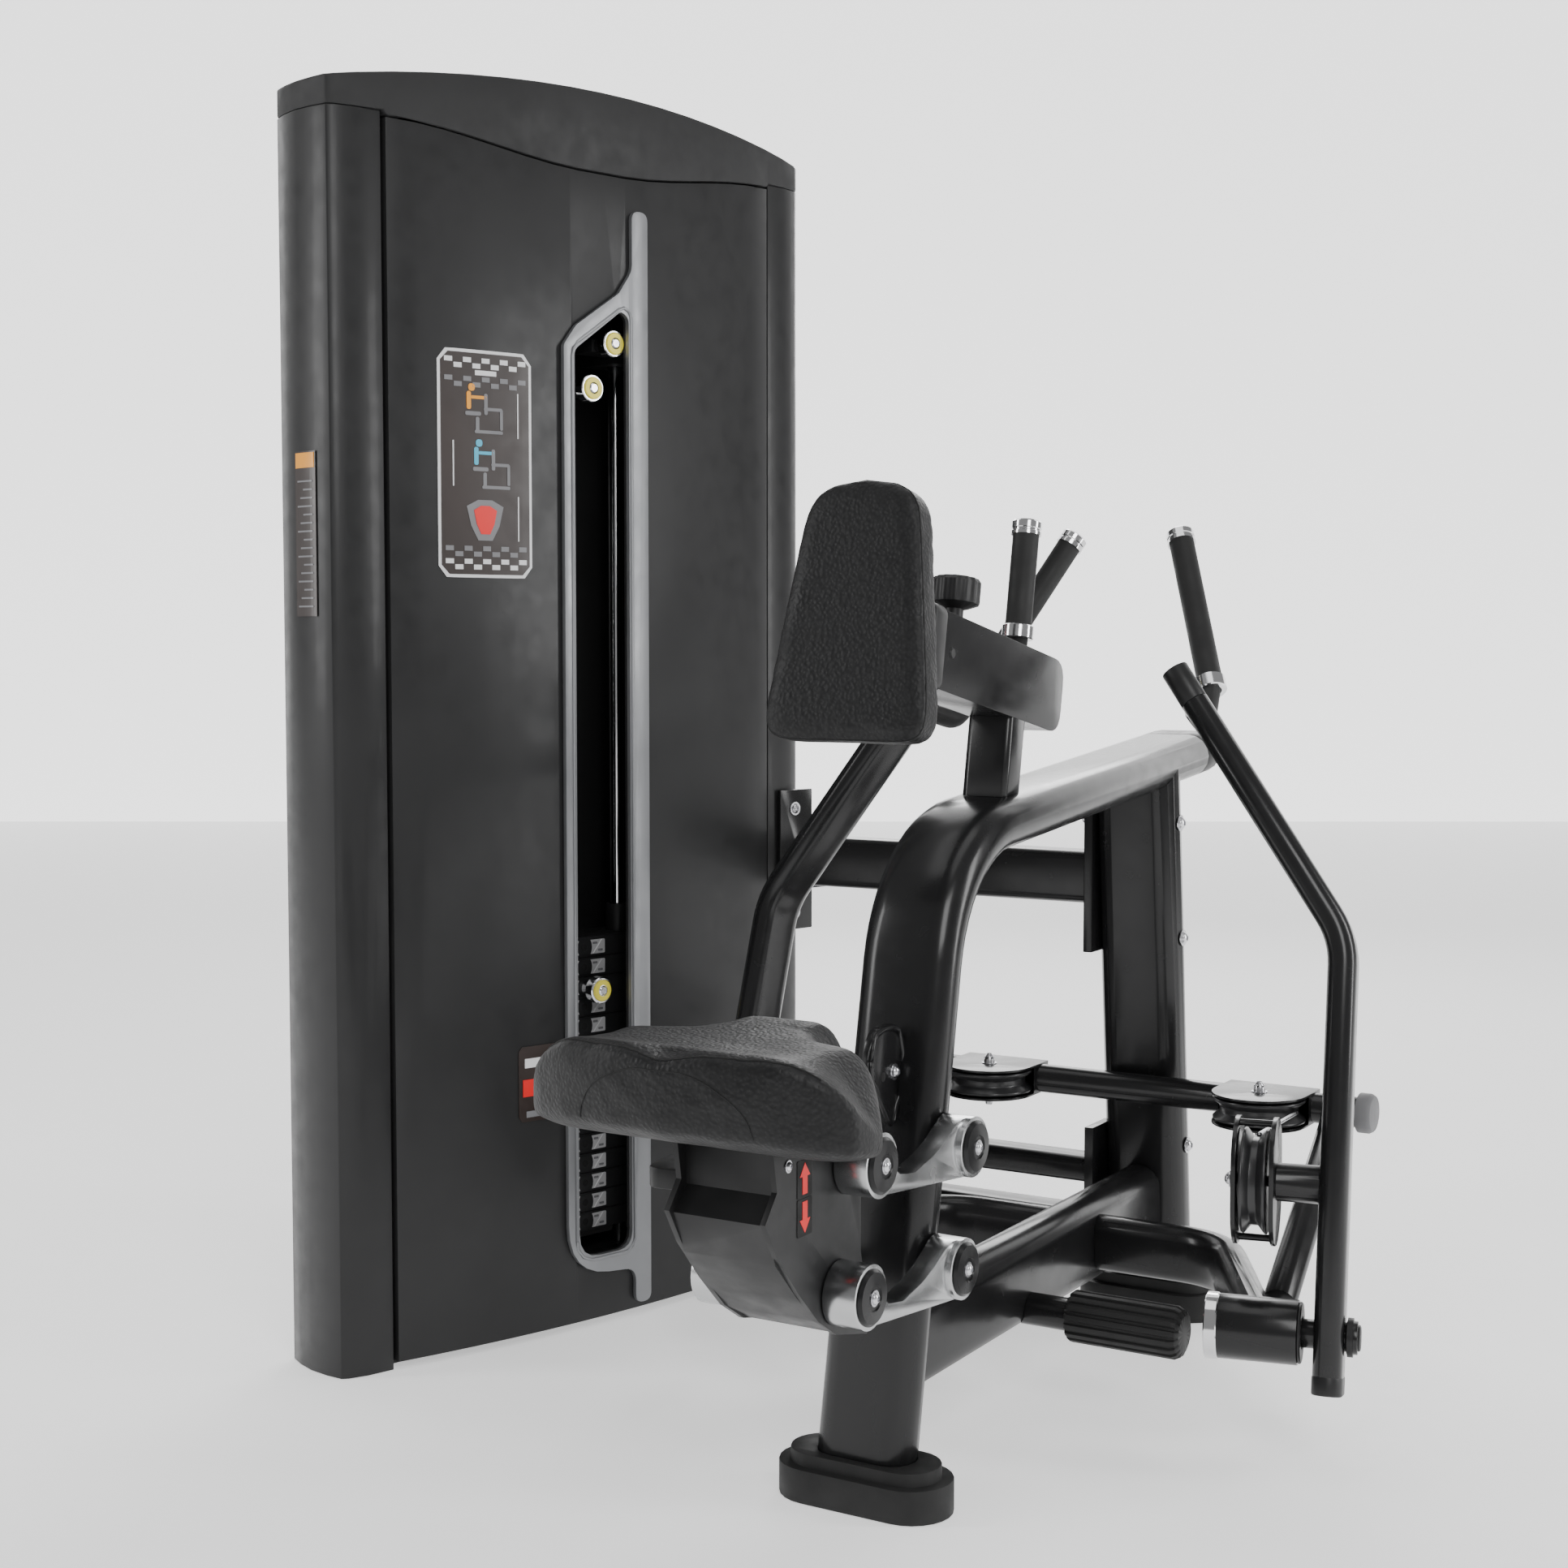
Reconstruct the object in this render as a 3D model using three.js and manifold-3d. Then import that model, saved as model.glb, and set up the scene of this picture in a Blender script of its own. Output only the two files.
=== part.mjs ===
// Seated cable row: a weight tower joined to a padded rowing frame with two swinging arms.
// Millimetres, +Z up, origin on the floor at the middle of the front foot. The user faces +Y.
import * as THREE from "three";
import { mergeVertices } from "three/addons/utils/BufferGeometryUtils.js";
import Module from "manifold-3d";

const wasm = await Module();
wasm.setup();

// ---- driving dimensions ----
const GAP = 0.3;                                  // clearance between touching pieces
const MAIN = { long: 112, short: 56 };            // flat-oval tube of the main frame
const SIDE = { long: 70, short: 38 };             // flat-oval tube of the side frames
const ARM = { long: 66, short: 32 };              // flat-oval tube of the swinging arms
const POST_LEAN = 0.191;                          // front post, Y per Z
const TOP_RISE = 0.0895;                          // top run of the arch, Z per Y
const ARCH_CORNER = [0, 125, 683];
const ARCH_RADIUS = 172;
const ARCH_END_Y = 845;
const REAR_POST_FOOT_Y = 800;
const REAR_POST_LEAN = -0.0914;
const LOWER_TUBE_Z = 150;
const CROSSBAR = { y: 723, z: 313, r: 19, half: 303 };
const CROSS_PULLEY = { x: 188, y: 681, z: 314 };
const PULLEY = { r: 58, thick: 28, bore: 6.6, axle: 6 };
const HINGE_AT = new THREE.Vector3(391, 329, 150);
const HINGE_SPLAY = THREE.MathUtils.degToRad(13);
const HINGE_AXIS = new THREE.Vector3(Math.cos(HINGE_SPLAY), Math.sin(HINGE_SPLAY), 0);
const ARM_KNEE = new THREE.Vector3(369, 432, 568);
const ARM_TOP = new THREE.Vector3(157, 460, 863);
const ARM_FOOT = new THREE.Vector3(394.4, 314, 90);
const GRIP_BASE = new THREE.Vector3(156, 578, 845);
const GRIP_TOP = new THREE.Vector3(72, 687, 1036);
const GRIP_R = 15.5;
const PAD_TILT = THREE.MathUtils.degToRad(10.6);  // the pad beam falls to the rear
const PAD_CENTRE = new THREE.Vector3(0, -35, 927);
const LINK = { post: [65, 373], postLow: [43, 249], seat: [-137, 394], seatLow: [-159, 270] };
const LINK_X = [57.5, 93];                        // inner and outer face of the seat links
const TOWER = { x: -734, y: 5, turn: THREE.MathUtils.degToRad(74.31), width: 765, depth: 110 };
const COLUMN_W = 67;
const COLUMN_TOP = 1533;
const PANEL = { edge: 72, front: 16.6, bulge: 24.6, wall: 4, foot: 9.4 };
const STACK = { s: 393, halfWidth: 122, front: 20, back: 92, foot: 109, pitch: 26.5, plates: 12, lifted: 3 };
const ROD_OFFSET = 88;
const ROD_R = 10;

// ---- materials ----
function finish(color, roughness, metalness) {
  return new THREE.MeshStandardMaterial({ color, roughness, metalness });
}
const paint = finish(0x17181a, 0.32, 0.25);
const plastic = finish(0x2b2c2e, 0.6, 0);
const rubber = finish(0x1d1d1f, 0.85, 0);
const leather = finish(0x222224, 0.65, 0);
const silver = finish(0xb9bcc0, 0.35, 0.9);
const steel = finish(0x8a8d92, 0.3, 1);
const iron = finish(0x202124, 0.5, 0.4);

// ---- booleans ----
function toSolid(geometry) {
  const bare = geometry.clone();
  bare.deleteAttribute("normal");
  bare.deleteAttribute("uv");
  const merged = mergeVertices(bare, 1e-3);
  const vertProperties = new Float32Array(merged.attributes.position.array);
  const triVerts = new Uint32Array(merged.index.array);
  return new wasm.Manifold(new wasm.Mesh({ numProp: 3, vertProperties, triVerts }));
}
function fromSolid(solid) {
  const { vertProperties, triVerts } = solid.getMesh();
  const geometry = new THREE.BufferGeometry();
  geometry.setAttribute("position", new THREE.BufferAttribute(new Float32Array(vertProperties), 3));
  geometry.setIndex(new THREE.BufferAttribute(new Uint32Array(triVerts), 1));
  geometry.computeVertexNormals();
  return geometry;
}
function join(...geometries) {
  return fromSolid(geometries.map(toSolid).reduce((sum, next) => sum.add(next)));
}
function cut(geometry, ...tools) {
  return fromSolid(tools.map(toSolid).reduce((rest, tool) => rest.subtract(tool), toSolid(geometry)));
}
function common(a, b) {
  return fromSolid(toSolid(a).intersect(toSolid(b)));
}

// ---- sections: closed lists of 2-D points ----
function arc(cx, cy, r, from, to, steps) {
  return Array.from({ length: steps + 1 }, (_, i) => {
    const angle = from + ((to - from) * i) / steps;
    return new THREE.Vector2(cx + r * Math.cos(angle), cy + r * Math.sin(angle));
  });
}
function circle(r, sides = 20) {
  return arc(0, 0, r, 0, (2 * Math.PI * (sides - 1)) / sides, sides - 1);
}
function roundRect(w, h, r, steps = 3) {
  const x = w / 2 - r;
  const y = h / 2 - r;
  const corners = [[x, y], [-x, y], [-x, -y], [x, -y]];
  return corners.flatMap(([cx, cy], i) => arc(cx, cy, r, (i * Math.PI) / 2, ((i + 1) * Math.PI) / 2, steps));
}
function flatOval(long, short, steps = 8) {
  const x = (long - short) / 2;
  const quarter = Math.PI / 2;
  const ends = [[x, -quarter], [-x, quarter]];
  return ends.flatMap(([at, from]) => arc(at, 0, short / 2, from, from + Math.PI, steps));
}
function points(pairs) {
  return pairs.map(([x, y]) => new THREE.Vector2(x, y));
}
// Rounds each corner of a polygon with its own radius.
function rounded(corners, steps = 4) {
  return corners.flatMap(([x, y, r = 0], i) => {
    const at = new THREE.Vector2(x, y);
    if (!r) return [at];
    const before = new THREE.Vector2(...corners.at(i - 1));
    const after = new THREE.Vector2(...corners[(i + 1) % corners.length]);
    const back = before.sub(at).normalize();
    const on = after.sub(at).normalize();
    const reach = r / Math.tan(back.angleTo(on) / 2);
    const start = at.clone().addScaledVector(back, reach);
    const end = at.clone().addScaledVector(on, reach);
    return new THREE.QuadraticBezierCurve(start, at, end).getPoints(steps);
  });
}

// ---- solids ----
function prism(outline, length) {
  return new THREE.ExtrudeGeometry(new THREE.Shape(outline), { depth: length, bevelEnabled: false });
}
function placed(geometry, ...columns) {
  const [x, y, z, origin] = columns;
  return geometry.applyMatrix4(new THREE.Matrix4().makeBasis(x, y, z).setPosition(origin));
}
const X = new THREE.Vector3(1, 0, 0);
const Y = new THREE.Vector3(0, 1, 0);
const Z = new THREE.Vector3(0, 0, 1);
function plateX(outlineYZ, x0, x1) {
  return placed(prism(outlineYZ, x1 - x0), Y, Z, X, new THREE.Vector3(x0, 0, 0));
}
function plateY(outlineXZ, y0, y1) {
  return placed(prism(outlineXZ, y1 - y0), X, Z, Y.clone().negate(), new THREE.Vector3(0, y1, 0));
}
function plateZ(outlineXY, z0, z1) {
  return prism(outlineXY, z1 - z0).translate(0, 0, z0);
}
function block(x0, x1, y0, y1, z0, z1) {
  const size = new THREE.BoxGeometry(x1 - x0, y1 - y0, z1 - z0);
  return size.translate((x0 + x1) / 2, (y0 + y1) / 2, (z0 + z1) / 2);
}
// Places a solid of revolution, made around +Z from profile points [radius, height], along an axis.
function turned(profile, at, axis, sides = 24) {
  const lathe = new THREE.LatheGeometry(points(profile), sides).rotateX(Math.PI / 2);
  lathe.applyQuaternion(new THREE.Quaternion().setFromUnitVectors(Z, axis.clone().normalize()));
  return lathe.translate(at.x, at.y, at.z);
}
function rod(a, b, r, sides = 20) {
  const length = a.distanceTo(b);
  return turned([[0, 0], [r, 0], [r, length], [0, length]], a, b.clone().sub(a), sides);
}
function ring(at, axis, from, to, inner, outer, sides = 28) {
  return turned([[inner, from], [outer, from], [outer, to], [inner, to], [inner, from]], at, axis, sides);
}

// A route of straight runs joined by arcs, sampled only where it bends.
class BentPath extends THREE.Curve {
  constructor(corners, radius, arcSteps = 8) {
    super();
    const spots = corners.map((corner) => new THREE.Vector3(...corner));
    this.stations = [spots[0]];
    for (let i = 1; i < spots.length - 1; i += 1) {
      const back = spots[i - 1].clone().sub(spots[i]).normalize();
      const on = spots[i + 1].clone().sub(spots[i]).normalize();
      const half = back.angleTo(on) / 2;
      const inwards = back.clone().add(on).normalize();
      const centre = spots[i].clone().addScaledVector(inwards, radius / Math.sin(half));
      const start = spots[i].clone().addScaledVector(back, radius / Math.tan(half)).sub(centre);
      const axis = new THREE.Vector3().crossVectors(on, back).normalize();
      const turn = Math.PI - 2 * half;
      for (let k = 0; k <= arcSteps; k += 1) {
        this.stations.push(start.clone().applyAxisAngle(axis, (turn * k) / arcSteps).add(centre));
      }
    }
    this.stations.push(spots.at(-1));
    this.steps = this.stations.length - 1;
  }
  getPointAt(u, target = new THREE.Vector3()) {
    const place = Math.min(Math.max(u, 0), 1) * this.steps;
    const i = Math.min(Math.floor(place + 1e-9), this.steps - 1);
    return target.copy(this.stations[i]).lerp(this.stations[i + 1], place - i);
  }
  getPoint(t, target) {
    return this.getPointAt(t, target);
  }
  getTangentAt(u, target = new THREE.Vector3()) {
    const i = Math.round(u * this.steps);
    const step = (from) => this.stations[from + 1].clone().sub(this.stations[from]);
    const onwards = step(Math.min(i, this.steps - 1));
    const behind = step(Math.max(i - 1, 0));
    return target.copy(onwards.normalize()).add(behind.normalize()).normalize();
  }
}
// Sweeps a section along a bent path, with the section's long direction turned towards `across`.
function sweep(corners, radius, section, across = X, arcSteps = 8) {
  const path = new BentPath(corners, radius, arcSteps);
  const frames = path.computeFrenetFrames(path.steps, false);
  const turn = Math.atan2(across.dot(frames.binormals[0]), across.dot(frames.normals[0]));
  const outline = section.map((point) => point.clone().rotateAround(new THREE.Vector2(), turn));
  return new THREE.ExtrudeGeometry(new THREE.Shape(outline), { steps: path.steps, extrudePath: path });
}
function mirrored(geometry) {
  const copy = toSolid(geometry).getMesh();
  const position = copy.vertProperties.map((value, i) => (i % 3 === 0 ? -value : value));
  const triangles = copy.triVerts.map((value, i, all) => all[i - (i % 3) + (2 - (i % 3))]);
  const result = new THREE.BufferGeometry();
  result.setAttribute("position", new THREE.BufferAttribute(new Float32Array(position), 3));
  result.setIndex(new THREE.BufferAttribute(new Uint32Array(triangles), 1));
  result.computeVertexNormals();
  return result;
}

const machine = new THREE.Group();
const tower = new THREE.Group();
tower.position.set(TOWER.x, TOWER.y, 0);
tower.rotation.z = TOWER.turn;
machine.add(tower);

function add(name, geometry, material, group = machine) {
  const mesh = new THREE.Mesh(geometry, material);
  mesh.name = name;
  group.add(mesh);
}
function addPair(name, right, material) {
  add(`${name}_right`, right, material);
  add(`${name}_left`, mirrored(right), material);
}

// ---- main frame tubes, each with an optional growth used when a neighbour is cut to it ----
const archTopZ = (y) => ARCH_CORNER[2] + TOP_RISE * (y - ARCH_CORNER[1]);
const rearPostY = (z) => REAR_POST_FOOT_Y + REAR_POST_LEAN * z;
const frontPostY = (z) => ARCH_CORNER[1] + POST_LEAN * (z - ARCH_CORNER[2]);
const FOOT_SOCKET_Z = 30;

function arch(grow = 0, end = ARCH_END_Y) {
  const low = FOOT_SOCKET_Z - grow;
  const corners = [[0, frontPostY(low), low], ARCH_CORNER, [0, end, archTopZ(end)]];
  return sweep(corners, ARCH_RADIUS, flatOval(MAIN.long + 2 * grow, MAIN.short + 2 * grow), X, 12);
}
function rearPost(grow = 0) {
  const low = FOOT_SOCKET_Z - grow;
  const corners = [[0, rearPostY(low), low], [0, rearPostY(735), 735]];
  return sweep(corners, 0, flatOval(MAIN.long + 2 * grow, MAIN.short + 2 * grow), X);
}
function lowerTube(grow = 0) {
  const ends = [[0, frontPostY(LOWER_TUBE_Z), LOWER_TUBE_Z], [0, rearPostY(LOWER_TUBE_Z), LOWER_TUBE_Z]];
  return sweep(ends, 0, flatOval(MAIN.long + 2 * grow, MAIN.short + 2 * grow), Z);
}
function crossbarTube(grow = 0) {
  const end = new THREE.Vector3(CROSSBAR.half, CROSSBAR.y, CROSSBAR.z);
  const start = end.clone().setX(-CROSSBAR.half);
  return rod(start, end, CROSSBAR.r + grow, 24);
}

add("main_arch", arch(), paint);
const CAP_LENGTH = 44;
const capEnds = [ARCH_END_Y + GAP, ARCH_END_Y + CAP_LENGTH].map((y) => [0, y, archTopZ(y)]);
add("arch_end_cap", sweep(capEnds, 0, flatOval(MAIN.long, MAIN.short), X), plastic);
add("rear_post", cut(rearPost(), arch(GAP)), paint);
add("lower_tube", cut(lowerTube(), arch(GAP), rearPost(GAP)), paint);

// ---- rubber feet ----
const FOOT = { long: 197, short: 92, wall: 36, height: 50 };
function foot(y, post) {
  const base = plateZ(flatOval(FOOT.long, FOOT.short, 12), 0, FOOT.wall).translate(0, y, 0);
  const shoulder = plateZ(flatOval(FOOT.long - 26, FOOT.short - 20, 12), FOOT.wall - 1, FOOT.height);
  return cut(join(base, shoulder.translate(0, y, 0)), post);
}
add("front_foot", foot(0, arch(GAP)), rubber);
add("rear_foot", foot(rearPostY(FOOT.wall) - 2, rearPost(GAP)), rubber);

// ---- crossbar with the two pulley tongues, its end caps and pulleys ----
const CHANNEL = { half: 59, height: 20, wall: 3, back: 742 };
function pulleyChannel(side) {
  const x = side * CROSS_PULLEY.x;
  const rear = CHANNEL.back - CROSS_PULLEY.y;
  const front = arc(0, 0, CHANNEL.half, Math.PI, 2 * Math.PI, 16);
  const plan = [...front, new THREE.Vector2(CHANNEL.half, rear), new THREE.Vector2(-CHANNEL.half, rear)];
  const low = CROSS_PULLEY.z - CHANNEL.height;
  const high = CROSS_PULLEY.z + CHANNEL.height;
  const axle = [low - 9, high + 9].map((z) => new THREE.Vector3(x, CROSS_PULLEY.y, z));
  return join(plateZ(plan, low, high).translate(x, CROSS_PULLEY.y, 0), rod(...axle, 7, 6));
}
function pulleyPocket(side) {
  const room = CHANNEL.height - CHANNEL.wall;
  const at = new THREE.Vector3(side * CROSS_PULLEY.x, CROSS_PULLEY.y, CROSS_PULLEY.z);
  return ring(at, Z, -room, room, PULLEY.axle, PULLEY.r + 3, 32);
}
const crossbar = join(crossbarTube(), pulleyChannel(1), pulleyChannel(-1));
add("crossbar", cut(crossbar, rearPost(GAP), pulleyPocket(1), pulleyPocket(-1)), paint);
const capStart = new THREE.Vector3(CROSSBAR.half + GAP, CROSSBAR.y, CROSSBAR.z);
addPair("crossbar_cap", turned([[0, 0], [25, 0], [25, 14], [22, 19], [0, 19]], capStart, X, 28), rubber);

function pulley(at, axis) {
  const h = PULLEY.thick / 2;
  const { r, bore } = PULLEY;
  const profile = [[bore, -h], [r, -h], [r, -h + 3], [r - 9, -4], [r - 9, 4], [r, h - 3], [r, h], [bore, h],
    [bore, -h]];
  return turned(profile, at, axis, 24);
}
const crossPulleyAt = new THREE.Vector3(CROSS_PULLEY.x, CROSS_PULLEY.y, CROSS_PULLEY.z);
addPair("crossbar_pulley", pulley(crossPulleyAt, Z), plastic);

// ---- side frames: the tube to the arm bearing, the bearing housing and the brace ----
const alongHinge = (distance) => HINGE_AT.clone().addScaledVector(HINGE_AXIS, distance);
const HOUSING = { from: -131, to: -33, r: 35, bore: 15.9 };
const SIDE_TUBE_Y = 555;
const sideRoute = [[10, SIDE_TUBE_Y, HINGE_AT.z], [192, SIDE_TUBE_Y, HINGE_AT.z], alongHinge(-78).toArray()];
const sideTube = sweep(sideRoute, 90, flatOval(SIDE.long, SIDE.short), Z);
const housing = rod(alongHinge(HOUSING.from), alongHinge(HOUSING.to), HOUSING.r, 32);
const brace = rod(new THREE.Vector3(316, 384, 160), new THREE.Vector3(277, 714, 304), 19);
const housingBore = rod(alongHinge(HOUSING.from - 5), alongHinge(HOUSING.to + 5), HOUSING.bore, 24);
const sideFrame = cut(join(sideTube, housing, brace), housingBore, lowerTube(GAP), crossbarTube(GAP));
addPair("side_frame", sideFrame, paint);

// ---- arms: tube, shaft, handle and pulley fork ----
const armUp = ARM_TOP.clone().sub(ARM_KNEE).normalize();
const armDown = ARM_FOOT.clone().sub(ARM_KNEE).normalize();
const ARM_ACROSS = new THREE.Vector3().crossVectors(armDown, armUp).normalize();
const ARM_CAP = 45;
const armTubeTop = ARM_TOP.clone().addScaledVector(armUp, -ARM_CAP);
function armTube(grow = 0, end = armTubeTop) {
  const route = [ARM_FOOT.toArray(), ARM_KNEE.toArray(), end.toArray()];
  return sweep(route, 100, flatOval(ARM.long + 2 * grow, ARM.short + 2 * grow), ARM_ACROSS, 6);
}
const armCapStart = armTubeTop.clone().addScaledVector(armUp, GAP);
const armCapRoute = [armCapStart.toArray(), ARM_TOP.toArray()];
const armCap = sweep(armCapRoute, 0, flatOval(ARM.long, ARM.short), ARM_ACROSS);
addPair("arm_cap", armCap, plastic);
const shaft = rod(alongHinge(HOUSING.from + 4), alongHinge(20), 15.5, 24);
const shaftNut = rod(alongHinge(18), alongHinge(30), 18, 24);
addPair("arm", join(armTube(), shaft, shaftNut), paint);

const STEM_R = 12.5;
const stemRoute = [[183, 455, 818], [166, 532, 800], GRIP_BASE.toArray()];
const stem = sweep(stemRoute, 30, circle(STEM_R, 16), Z, 6);
const gripDirection = GRIP_TOP.clone().sub(GRIP_BASE).normalize();
const gripLength = GRIP_TOP.distanceTo(GRIP_BASE);
const gripProfile = [[0, -6], [17, -6], [17, 10], [GRIP_R, 10], [GRIP_R, gripLength - 14],
  [16.5, gripLength - 14], [16.5, gripLength - 2], [14, gripLength], [0, gripLength]];
const armGrip = turned(gripProfile, GRIP_BASE, gripDirection, 20);
addPair("handle", cut(join(stem, armGrip), armTube(GAP, ARM_TOP)), rubber);

const forkAxis = HINGE_AXIS;
const armAt = (z) => ARM_KNEE.clone().lerp(ARM_FOOT, (ARM_KNEE.z - z) / (ARM_KNEE.z - ARM_FOOT.z));
const FORK_REACH = 85;
const forkRoot = armAt(305);
const forkCentre = forkRoot.clone().addScaledVector(forkAxis, -FORK_REACH);
const alongFork = (distance) => forkCentre.clone().addScaledVector(forkAxis, distance);
const FORK_PLATE = 5;
const FORK_HALF = PULLEY.thick / 2 + 4;
const FORK_CHEEK = { tall: 142, wide: 96 };
const forkSide = new THREE.Vector3().crossVectors(forkAxis, Z).normalize();
function forkCheek(from) {
  const cheek = prism(flatOval(FORK_CHEEK.tall, FORK_CHEEK.wide, 10), FORK_PLATE);
  return placed(cheek, Z, forkSide, forkAxis, alongFork(from));
}
function forkSpacer(height) {
  const lift = Z.clone().multiplyScalar(height);
  return rod(alongFork(-FORK_HALF - 2).add(lift), alongFork(FORK_HALF + 2).add(lift), 4, 12);
}
const forkSolids = [forkCheek(-FORK_HALF - FORK_PLATE), forkCheek(FORK_HALF), forkSpacer(64), forkSpacer(-64),
  rod(alongFork(-FORK_HALF - 12), alongFork(FORK_HALF + 4), PULLEY.axle, 16),
  rod(alongFork(FORK_HALF + 2), forkRoot, 21, 24)];
addPair("pulley_fork", cut(join(...forkSolids), armTube(GAP)), paint);
addPair("arm_pulley", pulley(forkCentre, forkAxis), plastic);

// ---- foot pegs ----
const PEG = { y: 350, z: 118, r: 30, barR: 19, from: 81, to: 218 };
const pegEnd = new THREE.Vector3(PEG.to - 8, PEG.y, PEG.z);
addPair("peg_bar", cut(rod(pegEnd.clone().setX(10), pegEnd, PEG.barR, 20), lowerTube(GAP)), paint);
const pegInner = PEG.barR + GAP;
const pegProfile = [[pegInner, PEG.from], [PEG.r, PEG.from], [PEG.r, PEG.to - 3], [PEG.r - 3, PEG.to],
  [0, PEG.to], [0, PEG.to - 7], [pegInner, PEG.to - 7], [pegInner, PEG.from]];
addPair("foot_peg", turned(pegProfile, new THREE.Vector3(0, PEG.y, PEG.z), X, 24), rubber);

// ---- beams that tie the frame to the tower's far column ----
const towerAxisS = new THREE.Vector3(Math.cos(TOWER.turn), Math.sin(TOWER.turn), 0);
const towerInward = new THREE.Vector3(-Math.sin(TOWER.turn), Math.cos(TOWER.turn), 0);
function towerPoint(s, depth, z) {
  const base = new THREE.Vector3(TOWER.x, TOWER.y, z);
  return base.addScaledVector(towerAxisS, s).addScaledVector(towerInward, depth);
}
// A block given in the tower's own frame: along its width, into its depth, and up.
function towerBlock(s0, s1, d0, d1, z0, z1) {
  const corner = new THREE.Vector3(TOWER.x, TOWER.y, 0);
  return placed(block(s0, s1, d0, d1, z0, z1), towerAxisS, towerInward, Z, corner);
}
const POST_FACE_X = -MAIN.long / 2;
const TOWER_PLATE = [-20, -14];                   // depth range, in front of the column
function tieBeam({ y, z, height, width, corner, postPlate, towerPlate, s0 }) {
  const run = sweep([[POST_FACE_X - 2, y, z], [-620, y, z]], 0, roundRect(height, width, corner), Z);
  const trimmed = cut(run, towerBlock(600, 900, TOWER_PLATE[0] + 2, 400, 0, 900));
  const postSide = block(POST_FACE_X - 9, POST_FACE_X + 3, y - 34, y + 34, ...postPlate);
  const columnSide = join(towerBlock(s0, 778, ...TOWER_PLATE, ...towerPlate),
    towerBlock(760, 808, ...TOWER_PLATE, z - height / 2 - 6, z + height / 2 + 6));
  return cut(join(trimmed, postSide, columnSide), rearPost(GAP));
}
const upperBeam = { y: 742, z: 588, height: 70, width: 50, corner: 12, postPlate: [490, 686],
  towerPlate: [490, 690], s0: 716 };
const lowerBeam = { y: 752, z: 193, height: 36, width: 50, corner: 12, postPlate: [150, 254],
  towerPlate: [150, 250], s0: 716 };
const baseBeam = { y: 762, z: 107, height: 58, width: 58, corner: 14, postPlate: [76, 142],
  towerPlate: [76, 142], s0: 716 };
add("upper_beam", tieBeam(upperBeam), paint);
add("lower_beam", tieBeam(lowerBeam), paint);
add("base_beam", cut(tieBeam(baseBeam), foot(rearPostY(FOOT.wall) - 2, rearPost(0))), paint);

// ---- chest pad assembly ----
const padOut = new THREE.Vector3(0, -Math.cos(PAD_TILT), Math.sin(PAD_TILT));
const padUp = new THREE.Vector3(0, Math.sin(PAD_TILT), Math.cos(PAD_TILT));
function padPoint(behind, up) {
  return PAD_CENTRE.clone().addScaledVector(padOut, -behind).addScaledVector(padUp, up);
}
const BEAM = { front: 150, rear: 470, half: 43, width: 56, drop: -8 };
const PAD_THICK = 38;
// An outline given as distance behind the pad's face and height, turned into the frame's Y and Z.
function tilted(outline) {
  return outline.map(({ x, y }) => {
    const spot = padPoint(x, y);
    return new THREE.Vector2(spot.y, spot.z);
  });
}
const beamLow = BEAM.drop - BEAM.half;
const beamHigh = BEAM.drop + BEAM.half;
const beamCorners = [[BEAM.front, beamLow], [BEAM.rear, beamLow, 28], [BEAM.rear, beamHigh, 28],
  [BEAM.front, beamHigh]];
const beamOutline = tilted(rounded(beamCorners, 5)).reverse();
function padBeam(grow = 0) {
  return plateX(beamOutline, -BEAM.width / 2 - grow, BEAM.width / 2 + grow);
}
const SLIDE = { half: 32, width: 40, rear: 330 };
const slideCorners = [[PAD_THICK + 10, BEAM.drop - SLIDE.half, 6], [SLIDE.rear, BEAM.drop - SLIDE.half, 6],
  [SLIDE.rear, BEAM.drop + SLIDE.half, 6], [PAD_THICK + 10, BEAM.drop + SLIDE.half, 6]];
const pocketHeights = [BEAM.drop - SLIDE.half - 1, BEAM.drop + SLIDE.half + 1];
const pocketCorners = [[BEAM.front - 5, pocketHeights[0]], [SLIDE.rear + 100, pocketHeights[0]],
  [SLIDE.rear + 100, pocketHeights[1]], [BEAM.front - 5, pocketHeights[1]]];
const pocket = plateX(tilted(points(pocketCorners)).reverse(), -SLIDE.width / 2 - 1, SLIDE.width / 2 + 1);
add("pad_beam", cut(padBeam(), pocket), paint);
const slideTube = plateX(tilted(rounded(slideCorners, 2)).reverse(), -SLIDE.width / 2, SLIDE.width / 2);
add("pad_slide", slideTube, steel);

const padShape = rounded([[-99, -130, 26], [99, -130, 26], [66, 124, 20], [28, 143, 36], [-28, 143, 36],
  [-66, 124, 20]], 6);
const padSolid = placed(prism(padShape, PAD_THICK), X, padUp, padOut, padPoint(PAD_THICK, 0));
const padBack = placed(prism(roundRect(110, 130, 20, 4), 12), X, padUp, padOut, padPoint(PAD_THICK + 9.7, 0));
add("chest_pad", join(padSolid, padBack), leather);

const postFoot = new THREE.Vector3(0, 286, archTopZ(286));
const postHead = postFoot.clone().addScaledVector(padUp, 150);
const padPostTube = sweep([postFoot.toArray(), postHead.toArray()], 0, roundRect(56, 42, 8), X);
add("pad_post", cut(padPostTube, arch(GAP), padBeam(GAP)), paint);

const KNOB_BEHIND = 226;
const knobSeat = padPoint(KNOB_BEHIND, beamHigh + GAP);
const knobProfile = [[0, 0], [11, 0], [11, 16], [16, 18], [28, 22], [28, 46], [24, 50], [0, 50]];
add("pad_knob", turned(knobProfile, knobSeat, padUp, 24), plastic);

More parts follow.
